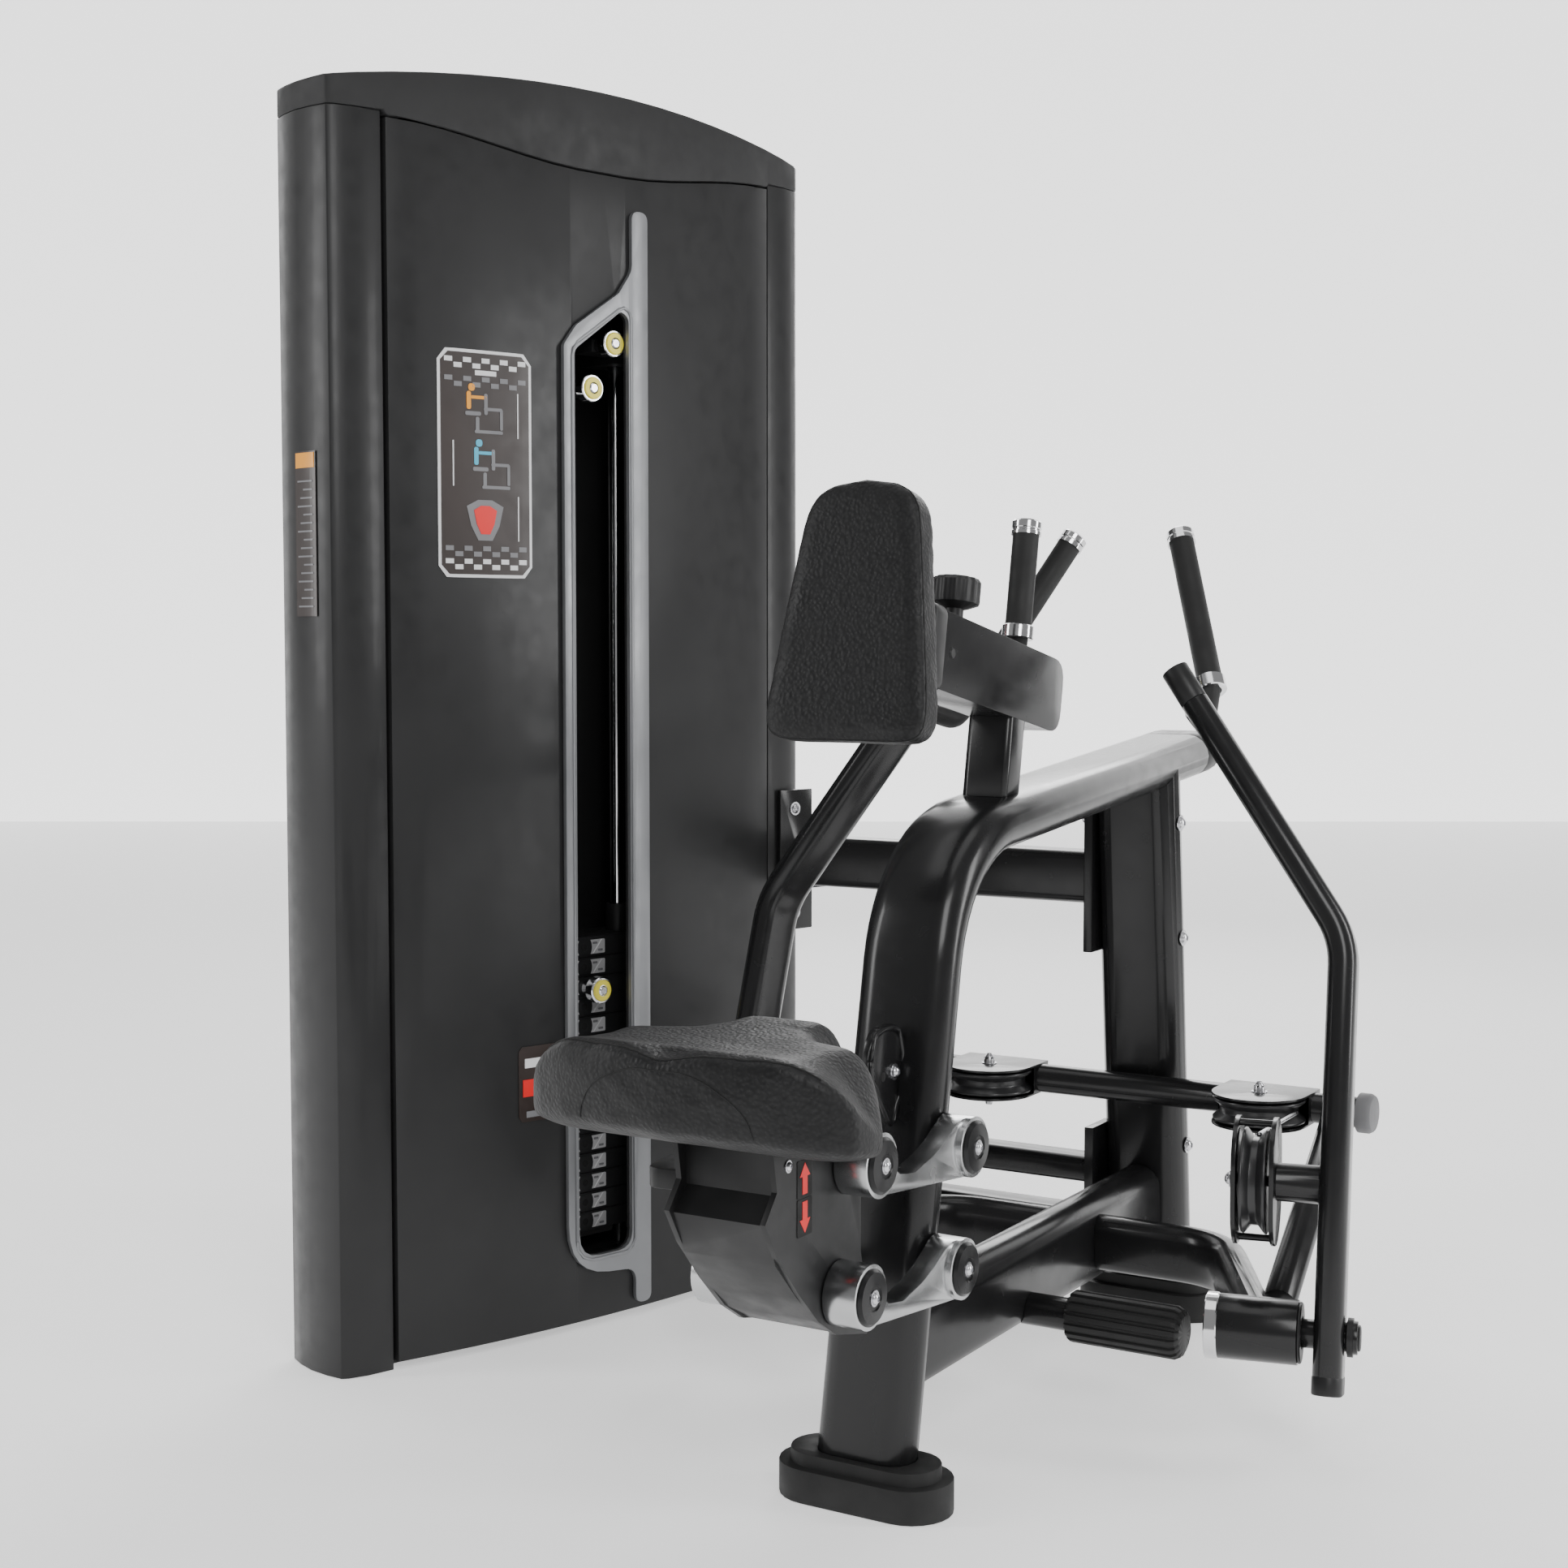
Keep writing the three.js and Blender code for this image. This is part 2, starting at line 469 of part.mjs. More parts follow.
const GRIP_BEHIND = 392;
const centreSeat = padPoint(GRIP_BEHIND, beamHigh + GAP);
const CENTRE_GRIP = 152;
const centreProfile = [[0, 0], [STEM_R, 0], [STEM_R, 14], [17, 14], [17, 28], [GRIP_R, 28],
  [GRIP_R, CENTRE_GRIP - 14], [16.5, CENTRE_GRIP - 14], [16.5, CENTRE_GRIP - 2], [14, CENTRE_GRIP],
  [0, CENTRE_GRIP]];
add("centre_grip", turned(centreProfile, centreSeat, padUp, 20), rubber);

// ---- seat: links, carriage, cushion, lever and the bracket on the front post ----
const LINK_BARREL = 32;
const LINK_SHAFT = 9;
const LINK_SPAN = 203;
// The blade between the barrels, as distance from the seat pivot and height over the pivots' line.
const bladeOutline = points([[0, -31], [LINK_SPAN, -31], [LINK_SPAN, 31], [184, 30], [166, 23], [145, 9],
  [120, -3], [80, -16], [50, -14], [34, -4], [24, 12], [14, 26], [0, 31]]);
function link([yPost, zPost], [ySeat, zSeat]) {
  const along = new THREE.Vector2(yPost - ySeat, zPost - zSeat);
  const seat = new THREE.Vector2(ySeat, zSeat);
  const blade = bladeOutline.map((point) => {
    return point.clone().rotateAround(new THREE.Vector2(), along.angle()).add(seat);
  });
  const sides = [1, -1].flatMap((side) => {
    const [low, high] = LINK_X.map((x) => side * x).sort((a, b) => a - b);
    const barrels = [[yPost, zPost], [ySeat, zSeat]].map(([y, z]) =>
      rod(new THREE.Vector3(low, y, z), new THREE.Vector3(high, y, z), LINK_BARREL, 28));
    return [plateX(blade, low + 6, high - 6), ...barrels];
  });
  const shaftEnd = new THREE.Vector3(LINK_X[0] + 5, ySeat, zSeat);
  return join(...sides, rod(shaftEnd.clone().setX(-shaftEnd.x), shaftEnd, LINK_SHAFT, 16));
}
add("upper_links", link(LINK.post, LINK.seat), silver);
add("lower_links", link(LINK.postLow, LINK.seatLow), silver);

// The carriage: two side plates with a folded shroud between them, open towards the post.
const CARRIAGE = { half: 56, plate: 6, top: 430, shroudTop: 411 };
const sidePlate = points([[-278, CARRIAGE.top], [-271, 391], [-292, 365], [-271, 330], [-232, 286],
  [-195, 250], [-160, 228], [-99, 213], [-96, 236], [-112, 300], [-112, CARRIAGE.top]]);
const shroudFront = [[-262, 385], [-284, 362], [-266, 320], [-228, 281], [-190, 248], [-152, 227], [-101, 215]];
const shroudOutline = points([[-262, CARRIAGE.top], ...shroudFront, [-101, 222], [-118, 236],
  [-118, CARRIAGE.shroudTop], [-256, CARRIAGE.shroudTop], [-256, CARRIAGE.top]]);
const shroudRoom = points([[-256, CARRIAGE.shroudTop - 6], [-256, 383], [-277, 361], [-260, 323], [-223, 286],
  [-187, 254], [-150, 233], [-60, 221], [-60, CARRIAGE.shroudTop - 6]]);
const plateInner = CARRIAGE.half - CARRIAGE.plate;
const shroudBlock = plateX(shroudOutline, -plateInner - 1, plateInner + 1);
const shroud = cut(shroudBlock, plateX(shroudRoom, -plateInner, plateInner));
const shaftRoom = [LINK.seat, LINK.seatLow].map(([y, z]) => rod(new THREE.Vector3(-80, y, z),
  new THREE.Vector3(80, y, z), LINK_SHAFT + 0.4, 16));
const carriageSides = [[plateInner, CARRIAGE.half], [-CARRIAGE.half, -plateInner]].map((xs) => {
  return plateX(sidePlate, ...xs);
});

// The cushion is high and boxy at the rear; its flanks fall away to the front for the thighs.
const seatSide = rounded([[-455, 473, 10], [-366, 450, 60], [-190, 416, 20], [-147, 432, 12], [-147, 531, 18],
  [-300, 524, 80], [-455, 550, 12]], 4);
const seatPlan = rounded([[-127, -455, 24], [127, -455, 24], [177, -350, 70], [122, -190, 30], [95, -146, 20],
  [-95, -146, 20], [-122, -190, 30], [-177, -350, 70]], 5);
const THIGH = { x: 58, y: -263, z: 531, slopeX: -0.6, slopeY: -0.5 };
function thighCutter(side) {
  const normal = new THREE.Vector3(-side * THIGH.slopeX, -THIGH.slopeY, 1).normalize();
  const across = new THREE.Vector3(normal.z, 0, -normal.x).normalize();
  const up = new THREE.Vector3(side * THIGH.x, THIGH.y, THIGH.z);
  const slab = placed(block(-600, 600, -600, 600, 0, 300), across, normal.clone().cross(across), normal, up);
  const flank = [side * THIGH.x, side * 300].sort((a, b) => a - b);
  return common(slab, block(...flank, -500, 0, 300, 700));
}
const seatBlock = common(plateX(seatSide, -200, 200), plateZ(seatPlan, 400, 560));
add("seat_cushion", cut(seatBlock, thighCutter(1), thighCutter(-1)), leather);
const underSeat = seatBlock.clone().translate(0, GAP, -GAP);
add("seat_carriage", cut(join(shroud, ...carriageSides), ...shaftRoom, underSeat), plastic);

const LEVER = { x: -90, y: -208, z: 380, width: 52, length: 66, half: 10, turn: THREE.MathUtils.degToRad(10) };
const leverShape = roundRect(LEVER.width, LEVER.length, 14, 4).map((point) => {
  return point.rotateAround(new THREE.Vector2(), LEVER.turn);
});
const leverPaddle = plateZ(leverShape, -LEVER.half, LEVER.half).translate(LEVER.x, LEVER.y, LEVER.z);
const leverArm = block(LEVER.x, -CARRIAGE.half - 0.8, LEVER.y - 10, LEVER.y + 10, LEVER.z - 6, LEVER.z + 8);
add("seat_lever", join(leverArm, leverPaddle), plastic);

const BRACKET = [[-17, 500, 32], [58, 500, 30], [60, 437, 10], [33, 388, 8], [-12, 446, 14]];
const bracketPlate = plateX(rounded(BRACKET, 5), 4, 12);
const bracketBoss = block(0, 14, 50, 84, 412, 441);
add("post_bracket", cut(join(bracketPlate, bracketBoss), arch(GAP)), paint);

// ---- tower: columns, panels, crown and base, in the tower's own frame ----
// x runs along the tower from the near column to the far one, y into its depth.
const halfWidth = TOWER.width / 2;
function panelFront(s) {
  const across = (s - halfWidth) / (halfWidth - PANEL.edge);
  return -(PANEL.front + PANEL.bulge * (1 - across ** 2));
}
// Outer half of a column's section, from its rear inner edge round the end face to its front one.
const columnSide = points([[32, TOWER.depth + 11], [20, TOWER.depth + 8], [8, TOWER.depth + 5], [0, TOWER.depth],
  [-6, TOWER.depth - 25], [-9, TOWER.depth / 2], [-6, 25], [0, 0], [8, -5], [20, -8], [32, -11]]);
const columnOutline = [new THREE.Vector2(COLUMN_W, TOWER.depth + 13), ...columnSide,
  new THREE.Vector2(COLUMN_W, -13)];
const nearColumn = plateZ(columnOutline, 0, COLUMN_TOP);
const farOutline = columnOutline.map(({ x, y }) => new THREE.Vector2(TOWER.width - x, y));
const farColumn = plateZ(farOutline, 0, COLUMN_TOP);
add("tower_column_near", nearColumn, paint, tower);
add("tower_column_far", farColumn, paint, tower);

const PANEL_STEPS = 12;
function panelLine(offset) {
  return Array.from({ length: PANEL_STEPS + 1 }, (_, i) => {
    const s = PANEL.edge + ((TOWER.width - 2 * PANEL.edge) * i) / PANEL_STEPS;
    return new THREE.Vector2(s, panelFront(s) + offset);
  });
}
const FLANGE_DEPTH = 22;
const frontOutline = [
  new THREE.Vector2(PANEL.edge, panelFront(PANEL.edge) + FLANGE_DEPTH), ...panelLine(0),
  new THREE.Vector2(TOWER.width - PANEL.edge, panelFront(PANEL.edge) + FLANGE_DEPTH),
  new THREE.Vector2(TOWER.width - PANEL.edge - PANEL.wall, panelFront(PANEL.edge) + FLANGE_DEPTH),
  ...panelLine(PANEL.wall).slice(1, -1).reverse(),
  new THREE.Vector2(PANEL.edge + PANEL.wall, panelFront(PANEL.edge) + FLANGE_DEPTH)];
const rearOutline = frontOutline.map(({ x, y }) => new THREE.Vector2(x, TOWER.depth - y));

// The crown's lower edge: level over the columns, dipping smoothly across the panel.
const CROWN = { side: 1528, dip: 1500, flat: 30, corner: 1566, peak: 1602 };
function crownEdge(s) {
  const out = (Math.abs(s - halfWidth) - CROWN.flat) / (halfWidth - PANEL.edge - CROWN.flat);
  const blend = THREE.MathUtils.smoothstep(out, 0, 1);
  return CROWN.dip + (CROWN.side - CROWN.dip) * blend;
}
const EDGE_STEPS = 16;
const crownEdgeLine = Array.from({ length: EDGE_STEPS + 1 }, (_, i) => {
  const s = PANEL.edge + ((TOWER.width - 2 * PANEL.edge) * i) / EDGE_STEPS;
  return [s, crownEdge(s)];
});
const SEAM = 2;
const seamLine = crownEdgeLine.map(([s, z]) => [s, z - SEAM]);
const abovePanel = points([[PANEL.edge - 10, CROWN.side - SEAM], ...seamLine,
  [TOWER.width - PANEL.edge + 10, CROWN.side - SEAM], [TOWER.width, 1700], [0, 1700]]);

// The window in the front panel, in the tower's width and height.
const WINDOW = { left: 331, right: 420, foot: 95, top: 1320, shoulder: 1271 };
const windowCorners = [[WINDOW.left, WINDOW.foot, 34], [WINDOW.right, WINDOW.foot, 24],
  [WINDOW.right, WINDOW.top, 12], [WINDOW.right - 13, WINDOW.top + 6, 6], [WINDOW.left, WINDOW.shoulder, 14]];
const windowHole = plateY(rounded(windowCorners, 4), -90, 0);
const frontPanel = plateZ(frontOutline, PANEL.foot, 1560);
add("front_panel", cut(frontPanel, plateY(abovePanel, -200, 300), windowHole), paint, tower);
add("rear_panel", cut(plateZ(rearOutline, PANEL.foot, 1560), plateY(abovePanel, -200, 300)), paint, tower);

const farSide = columnSide.map(({ x, y }) => new THREE.Vector2(TOWER.width - x, y)).reverse();
const crownRear = panelLine(-2).map(({ x, y }) => new THREE.Vector2(x, TOWER.depth - y)).reverse();
const crownPlan = [...columnSide, ...panelLine(-2), ...farSide, ...crownRear];
const CROWN_STEPS = 16;
const crownTopLine = Array.from({ length: CROWN_STEPS + 1 }, (_, i) => {
  const s = TOWER.width + 12 - ((TOWER.width + 24) * i) / CROWN_STEPS;
  const across = (s - halfWidth) / (halfWidth + 12);
  return [s, CROWN.peak - (CROWN.peak - CROWN.corner) * across ** 2];
});
const crownProfile = points([[-12, COLUMN_TOP + GAP], [PANEL.edge - 3, COLUMN_TOP + GAP], ...crownEdgeLine,
  [TOWER.width - PANEL.edge + 3, COLUMN_TOP + GAP], [TOWER.width + 12, COLUMN_TOP + GAP], ...crownTopLine]);
const crownSolid = common(plateZ(crownPlan, 1400, 1700), plateY(crownProfile, -120, 300));
const crownRoom = block(COLUMN_W + 24, TOWER.width - COLUMN_W - 24, -18, TOWER.depth + 18, 1450, 1550);
add("crown_cap", cut(crownSolid, crownRoom), plastic, tower);

const BASE_TOP = 74;
const CROSSHEAD_Z = [1392, 1414];

// ---- window trim and placard ----
const TRIM = { left: 314, right: 452, top: 1457, foot: 18, finger: 26, front: -48, back: -41.5 };
const trimOutline = rounded([[TRIM.right, TRIM.foot, 12], [TRIM.right, TRIM.top, 12],
  [TRIM.right - TRIM.finger, TRIM.top, 12], [TRIM.right - TRIM.finger, 1380, 30], [404, 1349, 20],
  [334, 1302, 16], [TRIM.left, 1276, 12], [TRIM.left, 76, 72], [TRIM.right - TRIM.finger, 66, 20],
  [TRIM.right - TRIM.finger, TRIM.foot, 12]], 6);
const trimHole = plateY(rounded(windowCorners, 4), -90, 0);
add("slot_trim", cut(plateY(trimOutline, TRIM.front, TRIM.back), trimHole), silver, tower);

const PLACARD = { s: 202, z: 1119, w: 133, h: 280 };
const placardShape = roundRect(PLACARD.w, PLACARD.h, 12, 4).map((point) => {
  return point.add(new THREE.Vector2(PLACARD.s, PLACARD.z));
});
const placardSlab = plateY(placardShape, -60, -20);
const placardSkin = plateZ([...panelLine(-2.3), ...panelLine(-GAP).reverse()], 900, 1300);
add("instruction_placard", common(placardSlab, placardSkin), plastic, tower);

// ---- weight stack ----
const stackTop = STACK.foot + STACK.pitch * STACK.plates;
const stackMid = (STACK.front + STACK.back) / 2;
const rodPlaces = [-ROD_OFFSET, ROD_OFFSET].map((offset) => STACK.s + offset);
const PLATE_GROOVE = 2;
function plateBlock(z0, count) {
  const left = STACK.s - STACK.halfWidth;
  const right = STACK.s + STACK.halfWidth;
  const top = z0 + STACK.pitch * count - GAP;
  const core = block(left + 2, right - 2, STACK.front + 2, STACK.back - 2, z0, top);
  const slabs = Array.from({ length: count }, (_, i) => {
    const z = z0 + STACK.pitch * i;
    const gap = i === count - 1 ? GAP : PLATE_GROOVE;
    return block(left, right, STACK.front, STACK.back, z, z + STACK.pitch - gap);
  });
  return join(core, ...slabs);
}
function uprightHole(s, r, z0, z1) {
  return rod(new THREE.Vector3(s, stackMid, z0), new THREE.Vector3(s, stackMid, z1), r, 20);
}
const rodHoles = rodPlaces.map((s) => uprightHole(s, ROD_R + 1.2, 0, 1600));
const PIN_Z = stackTop + STACK.pitch / 2 - 1;
const PIN_R = 5;
const pinRoute = [STACK.front - 5, stackMid - 12].map((depth) => new THREE.Vector3(STACK.s, depth, PIN_Z));
const pinHole = rod(...pinRoute, PIN_R + 0.4, 12);
add("weight_stack", cut(plateBlock(STACK.foot, STACK.plates), ...rodHoles,
  uprightHole(STACK.s, 13, 0, 1600)), iron, tower);
const SLEEVE_HEIGHT = 36;
const topZ = stackTop + STACK.lifted * STACK.pitch;
const sleeves = rodPlaces.map((s) => uprightHole(s, ROD_R + 6, topZ - 2, topZ + SLEEVE_HEIGHT));
const liftStem = uprightHole(STACK.s, 11, 130, topZ + 50);
const liftedSolid = join(plateBlock(stackTop, STACK.lifted), ...sleeves, liftStem);
add("top_plates", cut(liftedSolid, ...rodHoles, pinHole), iron, tower);
rodPlaces.forEach((s, i) => {
  const guideRod = uprightHole(s, ROD_R, BASE_TOP + GAP, CROSSHEAD_Z[0] - GAP);
  add(`guide_rod_${["near", "far"][i]}`, guideRod, steel, tower);
});
const pinProfile = [[0, -22], [PIN_R, -22], [PIN_R, 6], [10, 8], [10, 24], [17, 26], [17, 36], [12, 42],
  [0, 42]];
const pinAt = new THREE.Vector3(STACK.s, STACK.front, PIN_Z);
add("selector_pin", turned(pinProfile, pinAt, Y.clone().negate(), 20), silver, tower);

// ---- two add-on weights parked high on the guide rods ----
function addonWeight(s, rodS, z) {
  const slab = block(rodS - 30, rodS + 30, stackMid - 34, stackMid + 34, z - 16, z + 16);
  const reach = block(Math.min(s, rodS) - 12, Math.max(s, rodS) + 12, -4, stackMid - 20, z - 8, z + 8);
  const knob = turned([[0, 0], [9, 0], [9, 20], [17, 22], [17, 32], [12, 38], [0, 38]],
    new THREE.Vector3(s, 0, z), Y.clone().negate(), 20);
  return cut(join(slab, reach, knob), uprightHole(rodS, ROD_R + 1.2, 0, 1600));
}
add("addon_weight_upper", addonWeight(406, rodPlaces[1], 1286), iron, tower);
add("addon_weight_lower", addonWeight(370, rodPlaces[0], 1226), iron, tower);

// ---- base, crosshead and the pulleys that carry the lift cable over the stack ----
const GROOVE_R = PULLEY.r - 9;
const topPulleys = [STACK.s + GROOVE_R, 590].map((at) => new THREE.Vector3(at, stackMid, 1478));
function pulleyPost(at, z) {
  const back = block(at.x - 12, at.x + 12, at.y + 17, at.y + 23, z, at.z + 14);
  return join(back, rod(at.clone().setY(at.y - 20), at.clone().setY(at.y + 19), PULLEY.axle, 16));
}
const inner = [COLUMN_W + GAP, TOWER.width - COLUMN_W - GAP];
const cableHoles = [STACK.s, topPulleys[1].x + GROOVE_R].map((at) => uprightHole(at, 9, 0, 1600));
add("tower_base", cut(block(...inner, 8, TOWER.depth - 8, 0, BASE_TOP), cableHoles[1]), paint, tower);
const crossheadBar = block(...inner, 35, 80, ...CROSSHEAD_Z);
const posts = topPulleys.map((at) => pulleyPost(at, CROSSHEAD_Z[1] - 2));
add("crosshead", cut(join(crossheadBar, ...posts), ...cableHoles), paint, tower);
add("top_pulley", pulley(topPulleys[0], Y), plastic, tower);
add("outer_pulley", pulley(topPulleys[1], Y), plastic, tower);

export default machine;
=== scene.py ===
"""Looks of the seated cable row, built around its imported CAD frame. Metres, in the CAD frame."""
import math

import bmesh
import bpy
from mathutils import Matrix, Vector


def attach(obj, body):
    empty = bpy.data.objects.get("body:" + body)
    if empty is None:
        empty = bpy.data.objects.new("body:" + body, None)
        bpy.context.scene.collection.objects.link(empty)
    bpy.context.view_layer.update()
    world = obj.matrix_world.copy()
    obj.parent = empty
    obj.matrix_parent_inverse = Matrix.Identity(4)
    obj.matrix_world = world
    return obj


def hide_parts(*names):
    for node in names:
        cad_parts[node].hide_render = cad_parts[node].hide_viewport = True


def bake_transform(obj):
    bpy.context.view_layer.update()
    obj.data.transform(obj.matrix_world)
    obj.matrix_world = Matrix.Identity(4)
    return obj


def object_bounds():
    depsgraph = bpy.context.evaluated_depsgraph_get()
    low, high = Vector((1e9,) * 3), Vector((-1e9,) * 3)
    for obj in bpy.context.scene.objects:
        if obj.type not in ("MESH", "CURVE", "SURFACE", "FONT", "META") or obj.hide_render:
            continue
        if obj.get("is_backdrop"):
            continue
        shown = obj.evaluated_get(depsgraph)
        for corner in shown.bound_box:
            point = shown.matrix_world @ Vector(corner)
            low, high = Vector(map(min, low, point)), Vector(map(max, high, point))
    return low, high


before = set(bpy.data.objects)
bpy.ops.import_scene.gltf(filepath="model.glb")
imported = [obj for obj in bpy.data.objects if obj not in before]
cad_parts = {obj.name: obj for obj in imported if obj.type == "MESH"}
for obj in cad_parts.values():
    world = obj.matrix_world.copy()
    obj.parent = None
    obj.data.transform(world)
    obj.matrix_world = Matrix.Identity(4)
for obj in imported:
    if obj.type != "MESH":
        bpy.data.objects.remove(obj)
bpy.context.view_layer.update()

MM = 0.001
X, Y, Z = Vector((1, 0, 0)), Vector((0, 1, 0)), Vector((0, 0, 1))

# ---- the CAD's own dimensions, repeated here in millimetres ----
TOWER_AT = Vector((-734, 5, 0))
TOWER_TURN = math.radians(74.31)
TOWER_WIDTH = 765
PANEL_EDGE, PANEL_FRONT, PANEL_BULGE = 72, 16.6, 24.6
STACK_S, STACK_FRONT, STACK_FOOT, PLATE_PITCH = 393, 20, 109, 26.5
FIXED_PLATES, LIFTED_PLATES = 12, 3
STACK_MID = 56
HINGE_SPLAY = math.radians(13)
HINGE_AT = Vector((391, 329, 150))
ARM_KNEE, ARM_FOOT, ARM_TOP = Vector((369, 432, 568)), Vector((394.4, 314, 90)), Vector((157, 460, 863))
ARM_LONG, ARM_SHORT = 66, 32
GRIP_BASE, GRIP_TOP = Vector((156, 578, 845)), Vector((72, 687, 1036))
PAD_TILT = math.radians(10.6)
PAD_CENTRE = Vector((0, -35, 927))
LINK_PIVOTS = {"upper_links": [(65, 373), (-137, 394)], "lower_links": [(43, 249), (-159, 270)]}
LINK_OUTER_X = 93


# ---- materials ----
def new_material(name):
    material = bpy.data.materials.new(name)
    material.use_nodes = True
    tree = material.node_tree
    return material, tree, tree.nodes["Principled BSDF"]


def add_node(tree, kind, **values):
    node = tree.nodes.new(kind)
    for name, value in values.items():
        setattr(node, name, value)
    return node


def coordinates(tree, stretch=(1, 1, 1)):
    place = add_node(tree, "ShaderNodeTexCoord")
    mapping = add_node(tree, "ShaderNodeMapping")
    mapping.inputs["Scale"].default_value = stretch
    tree.links.new(place.outputs["Object"], mapping.inputs["Vector"])
    return mapping.outputs["Vector"]


def noise(tree, scale, detail=3.0, stretch=(1, 1, 1)):
    texture = add_node(tree, "ShaderNodeTexNoise")
    texture.inputs["Scale"].default_value = scale
    texture.inputs["Detail"].default_value = detail
    tree.links.new(coordinates(tree, stretch), texture.inputs["Vector"])
    return texture.outputs["Fac"]


def remap(tree, source, low, high, start=0.3, end=0.7):
    node = add_node(tree, "ShaderNodeMapRange")
    for name, value in (("From Min", start), ("From Max", end), ("To Min", low), ("To Max", high)):
        node.inputs[name].default_value = value
    tree.links.new(source, node.inputs["Value"])
    return node.outputs["Result"]


def bump(tree, shader, height, strength, distance):
    node = add_node(tree, "ShaderNodeBump")
    node.inputs["Strength"].default_value = strength
    node.inputs["Distance"].default_value = distance
    tree.links.new(height, node.inputs["Height"])
    tree.links.new(node.outputs["Normal"], shader.inputs["Normal"])


def mixed_colour(tree, shader, factor, first, second):
    ramp = add_node(tree, "ShaderNodeMix", data_type="RGBA")
    ramp.inputs["A"].default_value = (*first, 1)
    ramp.inputs["B"].default_value = (*second, 1)
    tree.links.new(factor, ramp.inputs["Factor"])
    tree.links.new(ramp.outputs["Result"], shader.inputs["Base Color"])


def coated(name, dark, light, rough, metallic=0.0, coat=0.0, grain=900.0, depth=0.00001, stretch=(1, 1, 1),
           shine=0.5):
    """A painted, moulded or cast finish: cloudy colour, uneven roughness and a fine surface grain."""
    material, tree, shader = new_material(name)
    shader.inputs["Metallic"].default_value = metallic
    shader.inputs["Coat Weight"].default_value = coat
    shader.inputs["Coat Roughness"].default_value = 0.12
    shader.inputs["Specular IOR Level"].default_value = shine
    clouds = noise(tree, 6.0, 4.0)
    mixed_colour(tree, shader, remap(tree, clouds, 0, 1), dark, light)
    wear = noise(tree, 38.0, 5.0, stretch)
    tree.links.new(remap(tree, wear, rough * 0.86, rough * 1.16), shader.inputs["Roughness"])
    bump(tree, shader, noise(tree, grain, 2.0, stretch), 0.35, depth)
    return material


def leather(name):
    """Black pebble-grained upholstery."""
    material, tree, shader = new_material(name)
    pebbles = add_node(tree, "ShaderNodeTexVoronoi", feature="SMOOTH_F1")
    pebbles.inputs["Scale"].default_value = 270.0
    place = coordinates(tree)
    warp = add_node(tree, "ShaderNodeTexNoise")
    warp.inputs["Scale"].default_value = 90.0
    tree.links.new(place, warp.inputs["Vector"])
    shift = add_node(tree, "ShaderNodeVectorMath", operation="MULTIPLY_ADD")
    shift.inputs[1].default_value = (0.004, 0.004, 0.004)
    tree.links.new(warp.outputs["Color"], shift.inputs[0])
    tree.links.new(place, shift.inputs[2])
    tree.links.new(shift.outputs["Vector"], pebbles.inputs["Vector"])
    grain = pebbles.outputs["Distance"]
    # the valleys between pebbles are painted darker as shade; the pebble tops keep the lighter black
    painted_pebble_shade = remap(tree, grain, 0, 1, 0.1, 0.7)
    mixed_colour(tree, shader, painted_pebble_shade, (0.011, 0.011, 0.0115), (0.004, 0.004, 0.0045))
    tree.links.new(remap(tree, noise(tree, 24.0, 4.0), 0.46, 0.58), shader.inputs["Roughness"])
    shader.inputs["Specular IOR Level"].default_value = 0.32
    bump(tree, shader, grain, 0.8, 0.0009)
    return material


PAINT = coated("gloss_black_paint", (0.009, 0.009, 0.0095), (0.013, 0.013, 0.0135), 0.24, coat=0.12,
               grain=700.0, depth=0.000003, shine=0.32)
PANEL = coated("satin_panel", (0.016, 0.016, 0.0165), (0.021, 0.021, 0.0215), 0.38, coat=0.06, grain=1200.0,
               shine=0.3)
CROWN = coated("crown_plastic", (0.018, 0.018, 0.0185), (0.023, 0.023, 0.0235), 0.55, grain=1500.0,
               depth=0.00006, shine=0.3)
PLASTIC = coated("black_plastic", (0.012, 0.012, 0.0125), (0.017, 0.017, 0.0175), 0.42, grain=1100.0,
                 depth=0.00006, shine=0.35)
PULLEY = coated("pulley_plastic", (0.012, 0.012, 0.013), (0.020, 0.020, 0.021), 0.34, coat=0.15, grain=500.0)
RUBBER = coated("black_rubber", (0.010, 0.010, 0.010), (0.016, 0.016, 0.016), 0.6, grain=800.0, depth=0.0001,
                shine=0.35)
GREY_RUBBER = coated("grey_bumper", (0.13, 0.13, 0.135), (0.18, 0.18, 0.185), 0.6, grain=700.0, depth=0.0001)
LEATHER = leather("pebbled_leather")
CAST = coated("cast_silver", (0.46, 0.465, 0.47), (0.56, 0.565, 0.57), 0.24, metallic=1.0)
TRIM = coated("satin_trim", (0.24, 0.245, 0.255), (0.31, 0.315, 0.325), 0.42, metallic=0.7, grain=1600.0)
CHROME = coated("polished_steel", (0.70, 0.70, 0.71), (0.80, 0.80, 0.81), 0.12, metallic=1.0, grain=300.0,
                stretch=(1, 1, 6))
IRON = coated("plate_iron", (0.014, 0.014, 0.015), (0.024, 0.024, 0.025), 0.5, metallic=0.2, grain=500.0,
              depth=0.0001)
DISC = coated("disc_black", (0.005, 0.005, 0.0055), (0.008, 0.008, 0.0085), 0.3, coat=0.1, shine=0.25)
